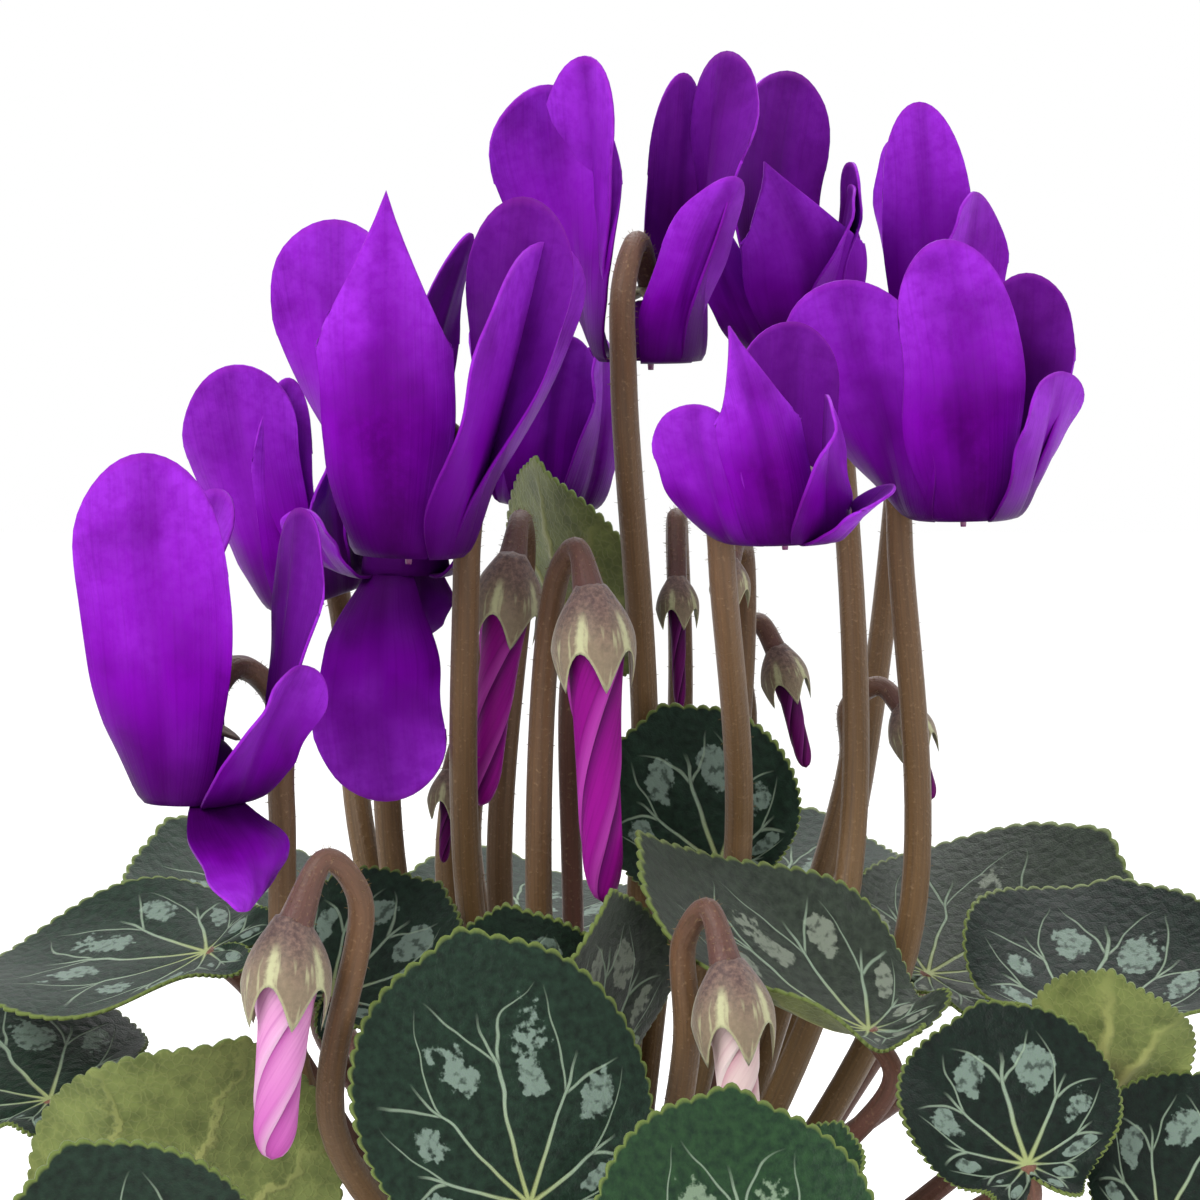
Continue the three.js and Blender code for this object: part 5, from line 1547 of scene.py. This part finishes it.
        form.sheet(self.cup_sides, self.cup_rows, cup, material=1)
        return form.finish(f"bud_{self.form.name}_stalk", (f"bud_{self.form.name}_scape",), "scape",
                           (SCAPE, SEPAL))


# ---- Leaves ----
@dataclass
class Leaf:
    """A heart-shaped blade on its stalk."""

    form: LeafForm
    base: Vector
    teeth: int = 84
    segments: int = 336
    rings: tuple[float, ...] = (
        0, 0.06, 0.14, 0.24, 0.34, 0.44, 0.54, 0.64, 0.73, 0.81, 0.88, 0.93, 0.962, 0.985, 1)
    tooth_length: float = 0.7
    tooth_power: float = 0.8
    tooth_from: float = 0.93
    quilt: float = 0.3

    def __post_init__(self) -> None:
        """Works out the blade's own axes."""
        self.junction = Vector(self.form.junction)
        self.along = Vector(self.form.tip).normalized()
        self.normal = square_to(Vector(self.form.face), self.along)
        self.across = self.normal.cross(self.along)

    def edge(self, angle: float) -> float:
        """Distance from the junction to the heart-shaped edge, at an angle from the tip."""
        behind = math.pi - abs(angle)
        disc = BLADE_OFFSET * math.cos(angle) + math.sqrt(1 - (BLADE_OFFSET * math.sin(angle)) ** 2)
        lobe = 1 + LOBE_SWELL * math.exp(-((behind - LOBE_ANGLE) ** 2) / LOBE_SPREAD)
        notch = 1 - NOTCH_DEPTH * math.exp(-((behind / NOTCH_WIDTH) ** 2))
        tip = 1 + TIP_LENGTH * math.exp(-((angle / TIP_ANGLE) ** 2))
        return self.form.half * disc * lobe * notch * tip

    def distance(self, reach: float, angle: float) -> float:
        """Finds how far a point is from the blade's junction.

        Args:
            reach: 0 at the junction and 1 at the toothed edge.
            angle: the angle from the tip, in radians.

        Returns:
            The distance.
        """
        bead = abs(math.cos(0.5 * self.teeth * angle)) ** self.tooth_power - 0.5
        rim = max(0.0, (reach - self.tooth_from) / (1 - self.tooth_from))
        return self.edge(angle) * reach + self.tooth_length * bead * rim * rim

    def point(self, reach: float, angle: float) -> Vector:
        """A point of the blade's middle surface."""
        form = self.form
        distance = self.distance(reach, angle)
        along = distance * math.cos(angle) * form.long
        across = distance * math.sin(angle)
        far = distance / form.half
        lift = form.half * (form.cup * far ** CUP_POWER + form.roll * (across / form.half) ** 2)
        lift += form.half * form.wave * reach ** WAVE_POWER * math.sin(WAVE_COUNT * angle + self.junction.x)
        lift += self.quilt * math.sin(math.pi * reach) * (abs(math.sin(0.5 * MAIN_VEINS * angle)) - 0.5)
        return self.junction + self.along * along + self.across * across + self.normal * lift

    def flat(self, reach: float, angle: float) -> tuple[float, float]:
        """The same point laid flat, in millimetres."""
        distance = self.distance(reach, angle)
        return distance * math.cos(angle) * self.form.long, distance * math.sin(angle)

    def add_blade(self, form: Form) -> None:
        """Adds the blade to a form."""
        count = len(self.rings) - 1

        def polar(around: float, out: float) -> tuple[float, float]:
            """Reach and angle of a grid point."""
            return self.rings[round(out * count)], TAU * (round(around * self.segments) / self.segments - 0.5)

        form.sheet(self.segments, count, lambda u, v: self.point(*polar(u, v)),
                   span=lambda u, v: (u, self.rings[round(v * count)]),
                   plate=lambda u, v: self.flat(*polar(u, v)), outward=self.normal)

    def petiole_path(self) -> SmoothPath:
        """The stalk's way, out over the pot's rim and up to the blade."""
        half = self.form.half
        top = self.junction - self.normal * PETIOLE_TUCK
        below = self.junction - self.normal * PETIOLE_DROP * half - self.along * PETIOLE_BACK * half
        elbow = self.base.lerp(below, ELBOW_SHARE)
        elbow.z = max(mix(self.base.z, below.z, ELBOW_RISE), POT_HEIGHT + ELBOW_CLEARANCE)
        return SmoothPath([self.base, collar(self.base), elbow, below, top])


def build_leaf_node(names: tuple[str, ...], base: Vector) -> bpy.types.Object:
    """Makes one leaf, or two whose stalks part just above the tuber.

    Args:
        names: the leaves' names.
        base: where the first stalk leaves the tuber.

    Returns:
        The finished piece.
    """
    form = Form()
    leaves = [Leaf(LEAVES[name], base + Vector(TWIN_STEP) * at) for at, name in enumerate(names)]
    for leaf in leaves:
        leaf.add_blade(form)
    for leaf in leaves:
        form.stalk(leaf.petiole_path(), lambda at: mix(PETIOLE_BASE, PETIOLE_TOP, at), PETIOLE_SIDES,
                   PETIOLE_RINGS, material=2)
    joined = "_".join(names)
    face = LEAF_FINISH.get(names[0], LEAF)
    return form.finish(f"foliage_{joined}", (f"leaf_{joined}",), "leaf", (face, LEAF_BACK, PETIOLE),
                       wall=BLADE_WALL, back=1)


# ---- Pot, compost and tuber ----
@dataclass
class Pot:
    """The tapered pot with its deep rim, a low ring under its base and four drain holes."""

    sides: int = 96
    drill_sides: int = 32
    lip: float = 1.0
    rim_flare: float = 0.5
    ring_height: float = 0.8
    ring_width: float = 4.0

    def wall_at(self, height: float) -> float:
        """The outer radius at a height."""
        return POT_BASE_RADIUS + (POT_TOP_RADIUS - POT_BASE_RADIUS) * height / POT_HEIGHT

    def build(self) -> bpy.types.Object:
        """Makes the pot."""
        under = POT_HEIGHT - RIM_HEIGHT
        soft = self.lip
        inside = POT_BASE_RADIUS - self.ring_width
        # From the middle of the base up the outside, over the rounded rim and down the inside.
        profile = [
            (0, self.ring_height), (inside - 1, self.ring_height), (inside, 0), (POT_BASE_RADIUS - soft, 0),
            (POT_BASE_RADIUS, soft), (self.wall_at(30), 30), (self.wall_at(60), 60),
            (self.wall_at(under) - 0.1, under - 0.6), (self.wall_at(under) + 0.6, under),
            (RIM_RADIUS - 0.6, under + 0.2), (RIM_RADIUS, under + soft),
            (RIM_RADIUS + self.rim_flare, POT_HEIGHT - soft),
            (RIM_RADIUS + 0.2, POT_HEIGHT - 0.2), (RIM_RADIUS - 0.6, POT_HEIGHT),
            (POT_TOP_RADIUS - POT_WALL + 0.8, POT_HEIGHT), (POT_TOP_RADIUS - POT_WALL, POT_HEIGHT - 0.8),
            (self.wall_at(60) - POT_WALL, 60), (self.wall_at(POT_FLOOR) - POT_WALL, POT_FLOOR + 1.5),
            (self.wall_at(POT_FLOOR) - POT_WALL - 1.5, POT_FLOOR), (0, POT_FLOOR),
        ]
        form = Form()
        form.turned(profile, self.sides)
        finish = MouldedPot("polypropylene_injection_moulded")
        piece = form.finish("pot_moulded", ("pot",), "pot", (finish,))
        self.drill(piece)
        return piece

    def drill(self, piece: bpy.types.Object) -> None:
        """Cuts the drain holes through the pot's floor.

        Args:
            piece: the pot, in metres.
        """
        cutter = bmesh.new()
        for number in range(DRAIN_COUNT):
            angle = TAU * (number + 0.5) / DRAIN_COUNT
            place = spun(DRAIN_RING, angle, 0.5 * POT_FLOOR) * MM
            bmesh.ops.create_cone(cutter, cap_ends=True, segments=self.drill_sides,
                                  radius1=DRAIN_RADIUS * MM, radius2=DRAIN_RADIUS * MM,
                                  depth=3 * POT_FLOOR * MM, matrix=Matrix.Translation(place))
        data = bpy.data.meshes.new("drill")
        cutter.to_mesh(data)
        cutter.free()
        tool = bpy.data.objects.new("drill", data)
        bpy.context.scene.collection.objects.link(tool)
        cut = piece.modifiers.new("drain", "BOOLEAN")
        cut.operation = "DIFFERENCE"
        cut.object = tool
        solved = piece.evaluated_get(bpy.context.evaluated_depsgraph_get())
        drilled = bpy.data.meshes.new_from_object(solved)
        piece.modifiers.clear()
        piece.data = drilled
        bpy.data.objects.remove(tool)


@dataclass
class Compost:
    """The compost in the pot: a crumbled top with grains of perlite.

    The first rows of its outline run over the floor, and those past top_rows from the pot's side to the middle
    of the top. Two of a crumb's three widths lie between flattest and fullest, as shares of the first.
    """

    sides: int = 120
    rows: int = 40
    floor_rows: float = 0.1
    top_rows: float = 0.2
    clump: float = 1.6
    clump_waves: float = 0.2
    clump_octaves: int = 4
    clump_growth: float = 12.0
    sunk: float = 0.5
    seed: int = 17
    crumbs: int = 900
    grains: int = 110
    crumb_sizes: tuple[float, float] = (0.5, 1.3)
    grain_sizes: tuple[float, float] = (0.6, 1.1)
    flattest: tuple[float, float] = (0.5, 0.4)
    fullest: tuple[float, float] = (1.0, 0.9)
    off_tuber: float = 1.0
    off_pot: float = 1.5

    def __post_init__(self) -> None:
        """Works out the radii at the pot's floor and at the top."""
        slope = (POT_TOP_RADIUS - POT_BASE_RADIUS) / POT_HEIGHT
        self.top_radius = POT_BASE_RADIUS + slope * SOIL_TOP - POT_WALL - SOIL_CLEARANCE
        self.low_radius = POT_BASE_RADIUS + slope * POT_FLOOR - POT_WALL - SOIL_CLEARANCE

    def top_at(self, radius: float) -> float:
        """Height of the smooth top, which rises from the pot's side towards the tuber."""
        rise = (self.top_radius - radius) / (self.top_radius - TUBER_RADIUS - SOIL_CROWN)
        return SOIL_TOP + SOIL_MOUND * min(1.0, rise)

    def build(self) -> bpy.types.Object:
        """Makes the compost's body, its crumbs and its grains."""
        form = Form()

        def spot(around: float, along: float) -> Vector:
            """The body: out over the floor, up its side and in over its top."""
            angle = ring_angle(around, self.sides)
            if along < self.floor_rows:
                radius, height = 0.0, POT_FLOOR + GAP
            elif along < self.top_rows:
                radius, height = self.low_radius, POT_FLOOR + GAP
            else:
                share = (along - self.top_rows) / (1 - self.top_rows)
                radius = self.top_radius * (1 - share)
                place = spun(radius, angle, 0) * self.clump_waves
                rough = self.clump * noise.fractal(place, 1.0, 2.0, self.clump_octaves)
                height = self.top_at(radius) - self.sunk + rough * min(1.0, share * self.clump_growth)
            return spun(radius, angle, height)

        form.sheet(self.sides, self.rows, spot)
        chance = Random(self.seed)
        for kind, count, sizes in ((0, self.crumbs, self.crumb_sizes), (1, self.grains, self.grain_sizes)):
            for _ in range(count):
                radius = mix(TUBER_RADIUS + self.off_tuber, self.top_radius - self.off_pot,
                             math.sqrt(chance.random()))
                angle = TAU * chance.random()
                place = spun(radius, angle, self.top_at(radius))
                size = mix(*sizes, chance.random())
                turn = Quaternion([chance.random() for _ in range(4)]).normalized()
                flat = [mix(low, high, chance.random()) for low, high in zip(self.flattest, self.fullest)]
                where = (Matrix.Translation(place) @ turn.to_matrix().to_4x4()
                         @ Matrix.Diagonal((1, *flat, 1)))
                made = bmesh.ops.create_icosphere(form.mesh, subdivisions=1, radius=size, matrix=where)
                for face in {face for vert in made["verts"] for face in vert.link_faces}:
                    face.material_index = kind
        return form.finish("compost", ("soil",), "soil",
                           (PeatCompost("peat_sieved"), Perlite("perlite_expanded")))


@dataclass
class Tuber:
    """The half-buried corky tuber."""

    sides: int = 72
    rings: int = 30
    top_rows: float = 0.55
    side_power: float = 0.6
    under_power: float = 1.2
    bark: float = 0.5
    bark_waves: float = 0.35
    bark_octaves: int = 3

    def build(self) -> bpy.types.Object:
        """Makes the tuber."""
        form = Form()

        def spot(around: float, along: float) -> Vector:
            """Over the top and down round the shoulder to the underside."""
            angle = ring_angle(around, self.sides)
            if along < self.top_rows:
                radius = TUBER_RADIUS * along / self.top_rows
                height = tuber_height(radius, 0)
            else:
                share = (along - self.top_rows) / (1 - self.top_rows)
                out = math.cos(0.5 * math.pi * share) if share < 1 else 0.0
                radius = TUBER_RADIUS * out ** self.side_power
                height = mix(SOIL_TOP + SOIL_MOUND, TUBER_TOP - TUBER_DEPTH, share ** self.under_power)
            place = spun(radius, angle, height)
            rough = noise.fractal(place * self.bark_waves, 1.0, 2.0, self.bark_octaves) * self.bark
            return place + Vector((0, 0, rough - self.bark)) if 0 < along < 1 else place

        form.sheet(self.sides, self.rings, spot)
        return form.finish("tuber_corky", ("tuber",), "tuber", (CorkyTuber("tuber_grown_corky"),))


# ---- Studio ----
@dataclass(frozen=True)
class Lamp:
    """A square soft light: its place and width in metres and its power in watts."""

    name: str
    place: Triple
    size: float
    power: float


LAMPS = (
    Lamp("key", (-0.55, -0.75, 0.85), 0.6, 11.0),
    Lamp("fill", (0.9, -0.6, 0.45), 0.9, 2.0),
    Lamp("top", (0.15, 0.5, 1.0), 0.8, 8.0),
)


@dataclass
class Studio:
    """The camera, the floor, the lights and the sky.

    The camera's distance and target are in millimetres, and the floor and the lamps' aim in metres.
    """

    distance: float = 600.0
    elevation: float = 6.0
    target: float = 210.0
    lens: float = 120.0
    sensor: float = 36.0
    nearest: float = 0.02
    floor_half: float = 2.5
    lamps_aim: Triple = (0, 0, 0.2)
    sky: str = "#FFFFFF"
    sky_strength: float = 1.0

    def build(self) -> None:
        """Makes the camera first, then the floor, the lights and the sky."""
        bpy.context.scene.view_settings.view_transform = "Standard"
        self.add_camera()
        self.add_floor()
        for lamp in LAMPS:
            self.add_light(lamp)
        self.add_sky()

    def add_camera(self) -> None:
        """Adds the camera, which looks at a point over the pot."""
        scene = bpy.context.scene
        data = bpy.data.cameras.new("camera")
        data.lens = self.lens
        data.sensor_width = self.sensor
        data.clip_start = self.nearest
        camera = bpy.data.objects.new("camera", data)
        scene.collection.objects.link(camera)
        tilt = math.radians(self.elevation)
        aim = Vector((0, 0, self.target * MM))
        camera.location = aim + Vector((0, -math.cos(tilt), math.sin(tilt))) * self.distance * MM
        camera.rotation_mode = "QUATERNION"
        camera.rotation_quaternion = (aim - camera.location).to_track_quat("-Z", "Y")
        scene.camera = camera

    def add_floor(self) -> None:
        """Adds the floor that the pot stands on."""
        floor = bmesh.new()
        bmesh.ops.create_grid(floor, x_segments=2, y_segments=2, size=self.floor_half)
        mesh = bpy.data.meshes.new("floor")
        floor.to_mesh(mesh)
        floor.free()
        mesh.materials.append(dressed(PaintedFloor("floor_paint_rolled")))
        plane = bpy.data.objects.new("floor", mesh)
        bpy.context.scene.collection.objects.link(plane)

    def add_light(self, lamp: Lamp) -> None:
        """Adds a light that looks at the plant.

        Args:
            lamp: the light's place, width and power.
        """
        data = bpy.data.lights.new(lamp.name, "AREA")
        data.size = lamp.size
        data.energy = lamp.power
        light = bpy.data.objects.new(lamp.name, data)
        bpy.context.scene.collection.objects.link(light)
        light.location = lamp.place
        light.rotation_mode = "QUATERNION"
        light.rotation_quaternion = (Vector(self.lamps_aim) - light.location).to_track_quat("-Z", "Y")

    def add_sky(self) -> None:
        """Lights the whole scene evenly from all sides."""
        world = bpy.data.worlds.new("studio")
        world.use_nodes = True
        background = world.node_tree.nodes["Background"]
        background.inputs["Color"].default_value = linear(self.sky)
        background.inputs["Strength"].default_value = self.sky_strength
        bpy.context.scene.world = world


def main() -> None:
    """Builds the studio and the plant, in order."""
    logging.basicConfig(level=logging.INFO, format="%(name)s: %(message)s")
    Studio().build()
    Pot().build()
    Compost().build()
    Tuber().build()
    spots = crown_spots()
    for form, base in zip(BLOOMS, spots):
        bloom = Bloom(form, base)
        bloom.build_corolla()
        bloom.build_scape()
    for form, base in zip(BUDS, spots[len(BLOOMS):]):
        bud = Bud(form, base)
        bud.build_corolla()
        bud.build_scape()
    for names, base in zip(LEAF_NODES, spots[len(BLOOMS) + len(BUDS):]):
        build_leaf_node(names, base)
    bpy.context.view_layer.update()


if __name__ == "__main__":
    main()
